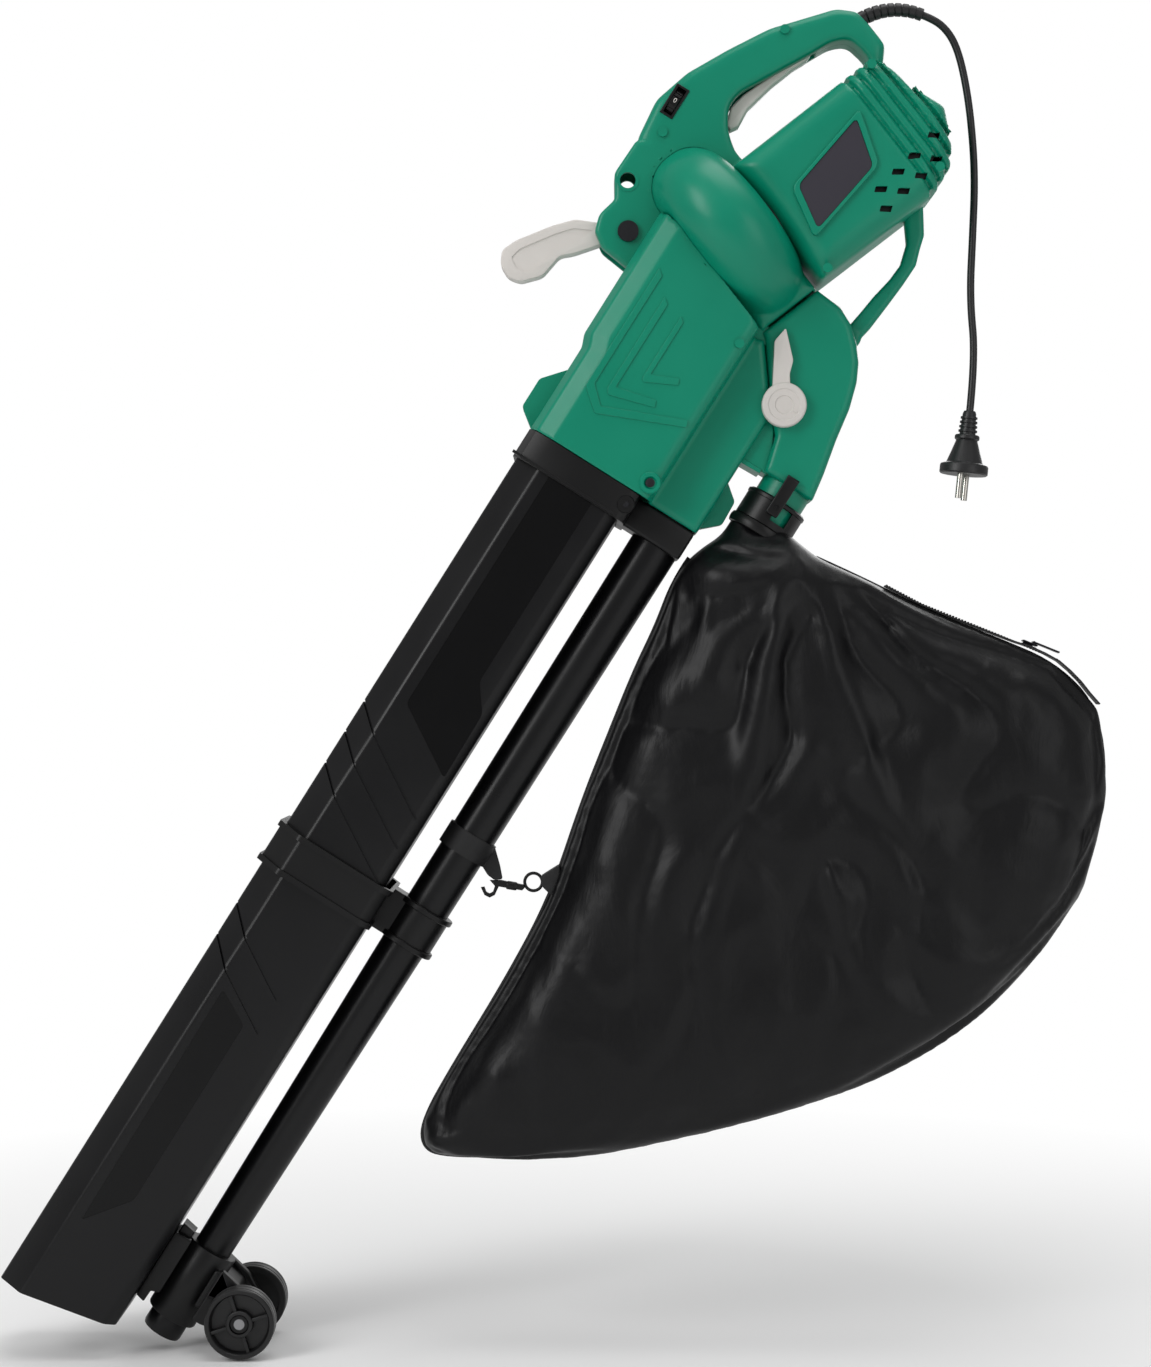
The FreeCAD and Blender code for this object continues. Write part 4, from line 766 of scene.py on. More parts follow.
@dataclass
class Housing:
    """The green two-part shell of grip, lug and motor cover."""

    grip: Outline = ((-60, -127), (-64, -92), (-55, -62), (-38, -30), (-20, 0), (15, 40), (30, 47), (45, 43), (62, 37), (90, -20), (40, -135))
    opening: Outline = ((-13, -55), (-14, -68), (-5, -83), (8, -94), (22, -98), (27, -92), (55, 0), (61, 12), (59, 20), (48, 23), (36, 25), (26, 16), (18, 0))
    web: Outline = ((-60, -127), (-61, -157), (-50, -174), (-54, -190), (-50, -203), (-38, -211), (-12, -214), (20, -200), (60, -150), (40, -110), (-5, -90))
    cover: Outline = ((50, -98), (160, -98), (161, 9), (152, 32), (139, 43), (113, 56), (92, 48), (66, 42), (50, 36))
    grip_half: float = 17.2
    cover_half: float = 51.5
    wall: float = 2.6
    badge: Outline = ((74, -33), (104, -57), (94, -119), (64, -99))
    vents: Outline = ((130, -12), (126, -33), (122, -50), (118, -68), (141, -26), (138, -43), (133, -60), (129, -78))
    rib_heights: Sequence[float] = (6, 15, 24, 33, 42)
    lug_hole: Point = (-49, -157)

    def skin(self) -> BMesh:
        """Melt grip, web and motor cover together and cut their openings."""
        grip = carved(slab(self.grip, -self.grip_half, self.grip_half, edge=7, clamp=True), slab(self.opening, -30, 30, corner=4))
        grip = blended(grip, 1.7, 22)
        web = slab(self.web, -self.grip_half, self.grip_half, edge=3)
        motor = slab(self.cover, -self.cover_half, self.cover_half, edge=19, segments=6, clamp=False)
        plates = joined(*(box((30, 190), (-70, 70), (z, z + 3.6)) for z in self.rib_heights))
        core = slab(self.cover, -self.cover_half, self.cover_half, edge=19, segments=6, clamp=False)
        shrink = Matrix.Translation((105, 0, -20)) @ Matrix.Diagonal((0.93, 0.93, 0.935, 1)) @ Matrix.Translation((-105, 0, 20))
        groove = carved(plates, moved(blended(core, 2.0, 5), shrink))
        motor = carved(blended(motor, 1.8, 9), groove)
        whole = joined(grip, blended(web, 1.8, 2), moved(motor, Frame.MOTOR.to(Frame.MACHINE)))
        return blended(whole, 1.5, 3)

    def cutters(self) -> BMesh:
        """Everything that is cut through the shell's walls."""
        slots = []
        for x, z in self.vents:
            slant = ((x - 3.1, z - 4.7), (x + 4.5, z + 0.1), (x + 3.1, z + 4.7), (x - 4.5, z - 0.1))
            slots += [slab(slant, -70, -38, corner=0.8), slab(slant, 38, 70, corner=0.8)]
        hole = spun(((0, -30), (6, -30), (6, 30), (0, 30)), 40, (self.lug_hole[0], 0, self.lug_hole[1]), "Y")
        trigger = slab(((4, 4), (26, 5), (14, -40), (6, -60), (6, -80), (-3, -86), (-14, -84), (-20, -68), (-14, -48)), -8, 8)
        ear = spun(((0, -8.3), (31, -8.3), (31, 8.3), (0, 8.3)), 64, (-28, 0, -190), "Y")
        window = box((-55.2, -46.2), (-40, -8), (-99, -75))
        relief = spun(((0, -12), (7, -12), (7, 12), (0, 12)), 32, (0, 0, 0), "Z")
        at = Matrix.Translation((39, 0, 39)) @ Matrix.Rotation(radians(45), 4, "Y")
        return joined(*slots, hole, trigger, ear, window, moved(relief, at))

    def build(self, fan_case: BMesh) -> None:
        """Make both half shells, then what sits on them.

        Args:
            fan_case: The fan case's solid in the machine frame, which the shell stops at; it is freed.
        """
        solid = carved(self.skin(), fan_case)
        for name, side, node in (("grip_shell_near", -1, "housing_left"), ("grip_shell_far", 1, "housing_right")):
            half = carved(halved(solid, side, self.wall), self.cutters())
            piece(half, name, Frame.MACHINE, GREEN_ABS, Body.MACHINE, (node,), sharp=50)
        solid.free()
        self.badges()
        self.rings()
        # Black plates just inside the vent slots: painted shade that makes the slots read dark.
        vent_shade_sheet = slab(((110, -84), (130, -86), (142, -40), (136, -12), (118, -8)), -45.3, -44.3, corner=3)
        piece(joined(mirrored(vent_shade_sheet), vent_shade_sheet), "vent_shade_plates", Frame.MACHINE, BLACK_TRIM, Body.MACHINE, ())
        dress("case_screws", GREEN_ABS)
        dress("power_switch", BLACK_TRIM)
        dress("trigger_pin", STEEL)
        dress("assist_bolt", BLACK_SCREW)

    def badges(self) -> None:
        """Bare gloss plates, each in a raised green frame."""
        middle = Vector((sum(x for x, _ in self.badge) / 4, sum(z for _, z in self.badge) / 4))
        grown = [tuple(middle + (Vector(p) - middle) * 1.17) for p in self.badge]
        plate = slab(self.badge, -53.6, -51.0, corner=4, edge=0.6)
        piece(joined(mirrored(plate), plate), "badge_plates", Frame.MACHINE, BADGE_PLATE, Body.MACHINE, ("badge_panels",))
        rim = carved(slab(grown, -54.4, -49.5, corner=5, edge=1.3), slab(self.badge, -60, -51.2, corner=4))
        piece(joined(mirrored(rim), rim), "badge_frames", Frame.MACHINE, GREEN_ABS, Body.MACHINE, ())

    def rings(self) -> None:
        """The thin raised rims round the lug's eye."""
        x, z = self.lug_hole
        rim = spun(((6.1, -17.6), (8.6, -17.6), (8.6, -16.6), (6.1, -16.6), (6.1, -17.6)), 48, (x, 0, z), "Y")
        piece(joined(mirrored(rim), rim), "lug_rims", Frame.MACHINE, GREEN_ABS, Body.MACHINE, ())


@dataclass
class FanCase:
    """The barrel round the fan with its flat outlet, in the motor frame."""

    centre_x: float = 85.5
    radius: float = 75.5
    low: float = -160.0
    high: float = -98.0
    rounding: float = 29.0
    neck: Outline = ((90, -155.5), (162, -155.5), (162, -102.5), (90, -102.5))
    neck_half: float = 24.0
    wall: float = 2.6
    eye_x: float = 95.0
    eye_radius: float = 32.0

    def solid(self, grow: float = 0.0) -> BMesh:
        """The case as one closed skin.

        Args:
            grow: How much larger it is than its real size all round.

        Returns:
            The skin, in the motor frame.
        """
        barrel = bmesh.new()
        depth = self.high - self.low + 2 * grow
        middle = Matrix.Translation((self.centre_x, 0, (self.high + self.low) / 2))
        bmesh.ops.create_cone(barrel, cap_ends=True, segments=96, radius1=self.radius + grow, radius2=self.radius + grow, depth=depth, matrix=middle)
        bevel(barrel, [e for e in barrel.edges if any(len(f.verts) > 8 for f in e.link_faces)], self.rounding, 10)
        neck = slab(self.neck, -self.neck_half - grow, self.neck_half + grow, edge=7)
        return blended(joined(barrel, neck), 1.7, 5)

    def build(self) -> None:
        """Make both halves of the case."""
        solid = self.solid()
        for name, side, node in (("fan_shell_near", -1, "fan_case_left"), ("fan_shell_far", 1, "fan_case_right")):
            half = halved(solid, side, self.wall)
            eyes = spun(((0, -190), (self.eye_radius, -190), (self.eye_radius, -140), (0, -140)), 48, (self.eye_x, 0, 0))
            shaft = spun(((0, -120), (12, -120), (12, -80), (0, -80)), 32, (self.eye_x, 0, 0))
            exit_cut = box((158, 170), (-21, 21), (-152.5, -105.5))
            piece(carved(half, joined(eyes, shaft, exit_cut)), name, Frame.MOTOR, GREEN_ABS, Body.MACHINE, (node,), sharp=50)
        solid.free()


@dataclass
class Duct:
    """The green shell from the fan's eye down to the tubes, with its pressed ridges, in the machine frame."""

    main: Outline = ((-14, -166), (6, -170), (60, -190), (96, -203), (96, -358), (-10, -358), (-10, -285), (-14, -275))
    side_channel: Outline = ((92, -210), (104, -205), (139, -250), (139, -358), (92, -358))
    half: float = 50.0
    channel_half: float = 24.0
    wall: float = 2.6
    screws: Outline = ((89, -346), (92, -222))

    def solid(self) -> BMesh:
        """The duct and its side channel as one solid with soft edges."""
        main = slab(self.main, -self.half, self.half)
        bevel(main, [e for e in rim_edges(main) if all(v.co.x < 0 for v in e.verts)], 20, 2)
        main.normal_update()
        bevel(main, [e for e in rim_edges(main) if all(v.co.x > 95 for v in e.verts)], 8, 3)
        channel = slab(self.side_channel, -self.channel_half, self.channel_half, edge=5)
        return blended(joined(main, channel), 1.6, 3)

    def ridges(self) -> BMesh:
        """The embossed bands that run up the duct's face from its lower corners, for both sides."""
        bands = (
            ((24, -222), (29, -226), (29, -299), (60, -291), (62, -296.5), (27, -307), (24, -303)),
            ((9, -206), (14, -210), (14, -305), (27, -317), (88, -291), (90, -296.5), (26, -324), (9, -310)),
            ((42, -228), (46, -231), (46, -277), (66, -268), (68, -273), (44, -285), (42, -282)),
        )
        made = [slab(b, -self.half - 1.0, -self.half + 3, corner=1.2, edge=0.9) for b in bands]
        return joined(*made, *(mirrored(b) for b in made))

    def build(self, fan_case: BMesh) -> None:
        """Make both halves, the ridges, the screw bosses and the tabs.

        Args:
            fan_case: The fan case's solid in the machine frame, which the duct stops at; it is freed.
        """
        solid = carved(self.solid(), fan_case)
        solid = opened(solid, (0, 0, -357.4), (0, 0, -1))
        for name, side, node in (("duct_shell_near", -1, "duct_left"), ("duct_shell_far", 1, "duct_right")):
            eye = moved(spun(((0, -200), (32, -200), (32, -140), (0, -140)), 48, (95, 0, 0)), Frame.MOTOR.to(Frame.MACHINE))
            bores = [spun(((0, -60), (2.6, -60), (2.6, 60), (0, 60)), 24, (x, 0, z), "Y") for x, z in self.screws[:1]]
            piece(carved(halved(solid, side, self.wall), joined(eye, *bores)), name, Frame.MACHINE, GREEN_ABS, Body.MACHINE, (node,), sharp=42)
        solid.free()
        piece(self.ridges(), "duct_ridges", Frame.MACHINE, GREEN_ABS, Body.MACHINE, ())
        x, z = self.screws[0]
        boss = spun(((5.0, -51.8), (7.4, -51.8), (8.4, -50.6), (8.4, -48.6), (3.8, -48.6), (3.8, -50.4), (5.0, -51.8)), 40, (x, 0, z), "Y")
        left_tab = slab(((-9, -300), (-26, -320), (-26, -345), (-9, -357.5)), -9, 9, corner=2, edge=2)
        right_tab = slab(((137, -309), (151, -320), (152, -340), (137, -354)), -6, 6, corner=2, edge=2)
        ledge = slab(((135, -289.4), (155, -289.4), (155, -292.6), (135, -293.4)), -18, 18, edge=0.8)
        throat = slab(((90, -194), (108, -195), (108, -208), (90, -208)), -19, 19, edge=1)
        bridge = slab(((136, -248), (147, -259), (159, -282), (160, -290.5), (136, -291)), -17, 17, edge=1.5)
        head = spun(((0, -51.6), (1.2, -51.6), (3.4, -52.1), (3.6, -49), (0, -49)), 24, (x, 0, z), "Y")
        piece(joined(mirrored(head), head), "duct_screws", Frame.MACHINE, BLACK_SCREW, Body.MACHINE, ())
        piece(joined(mirrored(boss), boss, left_tab, right_tab, ledge, bridge, throat), "duct_tabs", Frame.MACHINE, GREEN_ABS, Body.MACHINE, ())


@dataclass
class Outlet:
    """The elbow to the bag, the guard bar over it and the mode knob."""

    elbow: Outline = (
        (117.7, -151.3),
        (140, -153),
        (154, -160),
        (165, -170),
        (174, -181),
        (181, -195),
        (187, -215),
        (191, -240),
        (197, -268),
        (200.5, -290),
        (157.5, -290),
        (150, -262),
        (139, -250),
        (104, -204),
        (99.7, -201.2),
    )
    bar: Outline = (
        (165, -69),
        (168, -80),
        (172, -92),
        (171.5, -110),
        (170, -130),
        (168, -152),
        (164.5, -169.66),
        (152.5, -161.5),
        (155, -146),
        (157, -130),
        (160.5, -112),
        (161.5, -98),
        (157, -82),
    )
    half: float = 24.0
    spigot_x: float = 179.0
    knob: Point = (143, -240)
    knob_face: float = -31.3

    def build(self) -> None:
        """Make the elbow with its spigot, the bar and the knob."""
        turn = blended(slab(self.elbow, -self.half, self.half, edge=6.5, segments=5), 1.5, 4)
        turn = carved(turn, spun(((0, -300), (17.6, -300), (17.6, -284), (0, -284)), 56, (self.spigot_x, 0, 0)))
        spigot = spun(((17.7, -287), (19.9, -287), (19.9, -318.5), (19.2, -320), (17.7, -320), (17.7, -287)), 64, (self.spigot_x, 0, 0))
        piece(joined(turn, spigot), "elbow_shell", Frame.MACHINE, GREEN_ABS, Body.MACHINE, ("outlet_elbow",), sharp=45)
        upper = Frame.MOTOR.to(Frame.MACHINE)
        top, foot = upper @ Vector((158, 0, 6)), upper @ Vector((157, 0, -12))
        bar = slab(((top.x, top.z), *self.bar, (foot.x, foot.z)), -6.4, 6.4, edge=3.4)
        knee = spun(((0, -7), (6, -7), (8.6, -4.6), (8.6, 4.6), (6, 7), (0, 7)), 40, (158.5, 0, -165.6), "Y")
        piece(blended(joined(bar, knee), 1.1, 4), "guard_bar_skin", Frame.MACHINE, GREEN_ABS, Body.MACHINE, ("guard_bar",), sharp=60)
        self.build_knob()
        dress("mode_flap", BLACK_TRIM)

    def build_knob(self) -> None:
        """The off-white disc with its raised rim, sunk ring, tick and flag-shaped pointer."""
        x, z = self.knob
        face = self.knob_face
        profile = ((0, face + 1.6), (6.6, face + 1.6), (7.2, face + 0.8), (11.6, face + 0.8), (12.4, face + 0.1), (15.4, face), (16.4, face + 0.4), (17, face + 1.4), (17, -24.4), (0, -24.4))
        disc = spun(profile, 64, (x, 0, z), "Y")
        flag = slab([(x + a, z + b) for a, b in ((-30, 50), (-12, 32), (-9, 22), (-2, 12), (-12, 2), (-32, 37))], face + 1.2, -24.5, corner=1.6, edge=1.0, clamp=True)
        tick = box((x + 7.6, x + 11.2), (face + 0.2, face + 2), (z - 0.7, z + 0.7), 0.2)
        piece(joined(disc, flag, tick), "mode_dial", Frame.MACHINE, OFF_WHITE, Body.SELECTOR, ("mode_knob",))


@dataclass
class Controls:
    """Trigger and speed wheel in the grip, and the swinging side handle."""

    trigger: Outline = ((17.5, 1.5), (17, -5), (12, -15), (5, -35), (-1, -60), (0, -75), (-4, -81), (-9, -79), (-13, -66), (-10, -52), (1, -27), (8.5, -6), (9.5, 1.5))
    wheel_at: tuple[float, float, float] = (-50.7, -6.5, -87.0)
    wheel_radius: float = 13.0
    teeth: int = 26
    handle_hub: Point = (-28, -190)
    lever: Outline = ((-4, 8), (-22, -4), (-40, -12), (-52, -25), (-70, -50), (-75, -62), (-70, -72), (-60, -77), (-50, -75), (-38, -62), (-35, -42), (-27, -35), (-6, -9))

    def build(self) -> None:
        """Make the trigger, the wheel with its window, and the side handle."""
        piece(slab(self.trigger, -6.9, 6.9, edge=2.2), "trigger_blade", Frame.MACHINE, OFF_WHITE, Body.TRIGGER, ("trigger",))
        self.wheel()
        self.handle()

    def wheel(self) -> None:
        """A toothed thumbwheel with a generic nought, in a dark window frame."""
        x, y, z = self.wheel_at
        r = self.wheel_radius
        wheel = spun(((0, -3.2), (r - 0.6, -3.2), (r, -2.6), (r, 2.6), (r - 0.6, 3.2), (0, 3.2)), 72, (x, y, z), "X")
        cuts = []
        for i in range(self.teeth):
            if i == 0:
                continue
            notch = box((-4, 4), (-0.45, 0.45), (r - 0.8, r + 1))
            cuts.append(moved(notch, Matrix.Translation((x, y, z)) @ Matrix.Rotation(pi / 2 + 2 * pi * i / self.teeth, 4, "X")))
        wheel = carved(wheel, joined(*cuts))
        piece(wheel, "speed_wheel", Frame.MACHINE, BLACK_TRIM, Body.DIAL, ("speed_dial",))
        digit = bpy.data.curves.new("nought", "FONT")
        digit.body, digit.size, digit.extrude, digit.align_x, digit.align_y = "0", 5.2, 0.12, "CENTER", "CENTER"
        figure = bpy.data.objects.new("nought", digit)
        bpy.context.scene.collection.objects.link(figure)
        graph = bpy.context.evaluated_depsgraph_get()
        flat = bmesh.new()
        flat.from_mesh(figure.evaluated_get(graph).to_mesh())
        bpy.data.objects.remove(figure)
        bpy.data.curves.remove(digit)
        place = Matrix.Translation((x, y - r - 0.02, z)) @ Matrix.Rotation(pi / 2, 4, "X")
        piece(moved(flat, place), "wheel_nought", Frame.MACHINE, OFF_WHITE, Body.DIAL, ())
        frame_rim = carved(box((-56.4, -45.2), (-18.2, -13), (-100, -74.2), 0.6), box((-54.3, -47.1), (-30, 0), (-98.2, -76)))
        piece(frame_rim, "wheel_window", Frame.MACHINE, BLACK_TRIM, Body.MACHINE, ())

    def handle(self) -> None:
        """The off-white side handle: a faceted lever with a ridge down its middle, and its hub."""
        x, z = self.handle_hub
        lever = slab([(x + a, z + b) for a, b in self.lever], -8, 8, corner=3, edge=2.4, segments=3)
        hub = spun(((0, -8), (11, -8), (12, -7), (12, 7), (11, 8), (0, 8)), 56, (x, 0, z), "Y")
        whole = carved(lever, hub, "UNION")
        panel = slab([(x + a, z + b) for a, b in ((-24, -12), (-38, -19), (-48, -31), (-64, -54), (-66, -63), (-58, -68), (-50, -66), (-44, -56), (-42, -40), (-32, -29))], -12, -7.2, corner=1.5)
        whole = carved(whole, joined(mirrored(panel), panel))
        piece(whole, "side_lever", Frame.MACHINE, OFF_WHITE, Body.SIDE_HANDLE, ("assist_handle",), sharp=40)


# ---------------------------------------------------------------- tubes and wheels


@dataclass
class Tubes:
    """The flat-sided vacuum tube in two lengths, the blower pipe beside it, and what joins them, in the machine frame."""

    left: float = -7.5
    half: float = 45.0
    wall: float = 2.2
    pipe_x: float = 117.0
    upper_steps: Sequence[tuple[Point, Point, Point]] = (
        ((-9, -597), (13, -614), (75, -652)),
        ((-9, -624), (13, -641), (75, -678)),
        ((-9, -652), (13, -669), (78, -708)),
    )
    lower_steps: Sequence[tuple[Point, Point, Point]] = (
        ((-9, -778), (13, -795), (58, -822)),
        ((-9, -806), (13, -823), (60, -851)),
    )

    def build(self) -> None:
        """Make every tube and joint."""
        self.collar()
        upper_panel = ((22, -372), (60, -372), (60, -540), (75, -560), (76, -616), (22, -583))
        lower_panel = ((20, -838), (48, -853), (48, -1008), (22, -1042))
        self.tube("vacuum_tube_top", -358, -726, 82, self.upper_steps, upper_panel, "vacuum_tube_upper")
        self.tube("vacuum_tube_mouth", -726, -1119, 86, self.lower_steps, lower_panel, "vacuum_tube_lower")
        self.pipes()
        self.clip()
        self.bracket()

    def section(self, right: float, top: float, bottom: float, grow: float = 0.0) -> BMesh:
        """The tube's closed length: a box with wide flats on its left and narrow ones on its right.

        Args:
            right: The section's right side.
            top: Its upper end.
            bottom: Its lower end.
            grow: How much wider it is all round.

        Returns:
            The solid.
        """
        solid = box((self.left - grow, right + grow), (-self.half - grow, self.half + grow), (bottom, top))
        upright = [e for e in solid.edges if abs(e.verts[0].co.z - e.verts[1].co.z) > 1]
        bevel(solid, [e for e in upright if e.verts[0].co.x < 0], 20, 1)
        solid.edges.ensure_lookup_table()
        upright = [e for e in solid.edges if abs(e.verts[0].co.z - e.verts[1].co.z) > 1 and e.verts[0].co.x > right + grow - 1]
        bevel(solid, upright, 8, 1)
        arrises = [e for e in solid.edges if abs(e.verts[0].co.z - e.verts[1].co.z) > 1]
        bevel(solid, arrises, 2.2, 3)
        return solid

    def tube(self, name: str, top: float, bottom: float, right: float, steps: Sequence[tuple[Point, Point, Point]], panel: Outline, node: str) -> None:
        """Make one length of vacuum tube with its slanted grooves and sunk gloss panel.

        Args:
            name: The piece's name.
            top: Its upper end.
            bottom: Its lower end.
            right: Its right side.
            steps: The slanted grooves, each by three points.
            panel: The sunk panel's outline.
            node: The CAD node that it stands for.
        """
        solid = self.section(right, top, bottom)
        inside = self.section(right - self.wall, top + 5, bottom - 5, 0)
        shift = Vector((self.wall / 2, 0, 0))
        squeeze = Matrix.Diagonal(((right - 2 * self.wall - self.left) / (right - self.wall - self.left), (self.half - self.wall) / self.half, 1, 1))
        inside = moved(inside, Matrix.Translation(shift + Vector((self.left, 0, 0))) @ squeeze @ Matrix.Translation((-self.left, 0, 0)))
        grooves = []
        for a, b, c in steps:
            flat = [b, c, (c[0], c[1] - 2.4), (b[0], b[1] - 2.4)]
            grooves.append(slab(flat, -60, -self.half + 1.1))
            band = [(a[0], a[1]), (b[0] + 2, b[1] - 1.5), (b[0] + 2, b[1] - 3.9), (a[0], a[1] - 2.4)]
            cutter = slab(band, -60, 0)
            keep = moved(self.section(right, top + 9, bottom - 9), Matrix.Translation((1.1, 0, 0)) @ Matrix.Diagonal((1, (self.half - 1.1) / self.half, 1, 1)))
            grooves.append(carved(cutter, keep))
        recess = slab(panel, -60, -self.half + 0.9, corner=3)
        cuts = [recess, *grooves]
        far = [mirrored(c) for c in cuts]
        solid = carved(solid, joined(*cuts))
        solid = carved(solid, joined(*far))
        solid = carved(solid, inside)
        if bottom < -1000:
            solid = self.slanted(solid)
        piece(solid, name, Frame.MACHINE, BLACK_TUBE, Body.MACHINE, (node,), sharp=24)
        gloss = slab(panel, -self.half + 0.5, -self.half + 1.4, corner=3)
        piece(joined(mirrored(gloss), gloss), f"{name}_panels", Frame.MACHINE, BLACK_PANEL, Body.MACHINE, ())

    def slanted(self, solid: BMesh) -> BMesh:
        """Cut the mouth on its slant and close the wall's rim there."""
        along = Vector((95.5, 0, 20)).normalized()
        normal = Vector((along.z, 0, -along.x))
        made = bmesh.ops.bisect_plane(solid, geom=solid.verts[:] + solid.edges[:] + solid.faces[:], dist=0.0001, plane_co=(-8.5, 0, -1117), plane_no=normal, clear_outer=True)
        rim = [e for e in made["geom_cut"] if isinstance(e, bmesh.types.BMEdge)]
        bmesh.ops.bridge_loops(solid, edges=rim)
        bmesh.ops.recalc_face_normals(solid, faces=solid.faces[:])
        return solid

    def collar(self) -> None:
        """The black band that carries the tubes under the duct, with its screws."""
        outline = ((-10.5, -382), (-10.5, -358), (88, -358), (88, -382))
        main = slab(outline, -48, 48)
        bevel(main, [e for e in main.edges if abs(e.verts[0].co.z - e.verts[1].co.z) > 5 and e.verts[0].co.x < 0], 21, 2)
        bevel(main, [e for e in main.edges if abs(e.verts[0].co.z - e.verts[1].co.z) > 5 and e.verts[0].co.x > 85], 8, 3)
        lip = box((86, 138), (-22.5, 22.5), (-382, -358), 3)
        whole = carved(joined(main), lip, "UNION")
        hole = self.section(82.3, -340, -400)
        pipe_hole = spun(((0, -400), (19.4, -400), (19.4, -340), (0, -340)), 56, (self.pipe_x, 0, 0))
        whole = carved(carved(whole, moved(hole, Matrix.Diagonal((1.003, 1.003, 1, 1)))), pipe_hole)
        seat = spun(((2.6, -48.9), (6.2, -48.9), (6.8, -48.2), (6.8, -46.5), (2.6, -46.5), (2.6, -48.9)), 32, (82, 0, -369), "Y")
        bead = [slab(((-11.2, z - 1.1), (-11.2, z + 1.1), (80, z + 1.1), (80, z - 1.1)), -48.7, -44, edge=0.5) for z in (-380,)]
        parts = [seat, *bead]
        piece(joined(whole, *(mirrored(p) for p in parts), *parts), "tube_band", Frame.MACHINE, BLACK_TRIM, Body.MACHINE, ("tube_collar",), sharp=30)
        head = spun(((0, -47.6), (2.4, -47.9), (2.5, -46), (0, -46)), 24, (82, 0, -369), "Y")
        piece(joined(mirrored(head), head), "tube_band_screws", Frame.MACHINE, BLACK_SCREW, Body.MACHINE, ())

    def pipes(self) -> None:
        """The tapering blower pipe in two lengths and its nozzle, each turned with its wall."""
        x = self.pipe_x
        upper = ((16.9, -340), (19.1, -340), (19.2, -382), (17.7, -709), (17.6, -728), (15.4, -728), (15.6, -709), (17.0, -382), (16.9, -340))
        lower = ((15.4, -729), (17.6, -729), (17.6, -743), (17.4, -748), (14.6, -1016), (14.5, -1075), (12.3, -1075), (12.4, -1016), (15.4, -748), (15.4, -729))
        nozzle = ((12.4, -1076), (14.5, -1076), (15.4, -1079), (15.5, -1091), (14.9, -1093), (13.2, -1093), (12.8, -1085), (12.4, -1076))
        for name, profile, node in (("blower_pipe_top", upper, "blower_tube_upper"), ("blower_pipe_low", lower, "blower_tube_lower"), ("blower_tip", nozzle, "blower_nozzle")):
            piece(spun(profile, 72, (x, 0, 0)), name, Frame.MACHINE, BLACK_TUBE, Body.MACHINE, (node,), sharp=30)

    def clip(self) -> None:
        """The band round both tubes at their joint, with beads at its edges and a bridge between."""
        body = joined(self.section(84, -709, -743, 3.0), self.section(84, -738.5, -743, 5.0), self.section(84, -709, -713.5, 5.0))
        ring = spun(((0, -743), (20.6, -743), (20.6, -709), (0, -709)), 64, (self.pipe_x, 0, 0))
        beads = [spun(((0, z - 2.2), (22.4, z - 2.2), (23, z - 1.6), (23, z + 1.6), (22.4, z + 2.2), (0, z + 2.2)), 64, (self.pipe_x, 0, 0)) for z in (-740.7, -711.2)]
        bridge = box((84, 112), (-13, 13), (-743, -709), 1.5)
        whole = carved(joined(body, ring, *beads, bridge), joined(self.section(86.2, -600, -800), spun(((0, -800), (17.8, -800), (17.8, -600), (0, -600)), 64, (self.pipe_x, 0, 0))))
        whole = opened(whole, (0, 0, -760), (0, 0, -1))
        piece(whole, "tube_clip", Frame.MACHINE, BLACK_TRIM, Body.MACHINE, ("joint_clip",), sharp=30)

    def bracket(self) -> None:
        """The bracket at the tubes' foot: a sleeve round the pipe, a lug to the tube and arms to the axle."""
        sleeve = spun(((14.7, -1078), (19.4, -1078), (20, -1077), (20, -1019), (19.4, -1018), (14.7, -1018), (14.7, -1078)), 64, (self.pipe_x, 0, 0))
        lug = slab(((86, -1020), (101, -1019), (101, -1066), (94, -1068), (94, -1078), (86, -1076)), -15, 15, corner=1.5, edge=2)
        fin = slab(((88, -1012), (99, -1014), (99, -1024), (88, -1022)), -9, 9, edge=1.5)
        arm = slab(((132, -1022), (152, -1026), (170, -1036), (173.5, -1044), (171, -1053), (160, -1060), (140, -1066), (132, -1066)), 20.5, 28, corner=2, edge=1.6)
        web = slab(((128, -1026), (150, -1030), (158, -1040), (156, -1052), (140, -1058), (128, -1058)), -22, 22, corner=2, edge=2)
        axle = spun(((0, -30), (4.06, -30), (4.06, 30), (0, 30)), 40, (164.5, 0, -1045), "Y")
        arms = joined(mirrored(arm), arm)
        arms = carved(arms, axle)
        piece(joined(sleeve, lug, fin, web, arms), "foot_bracket", Frame.MACHINE, BLACK_TRIM, Body.MACHINE, ("bottom_bracket",), sharp=35)
        dress("wheel_axle", STEEL)


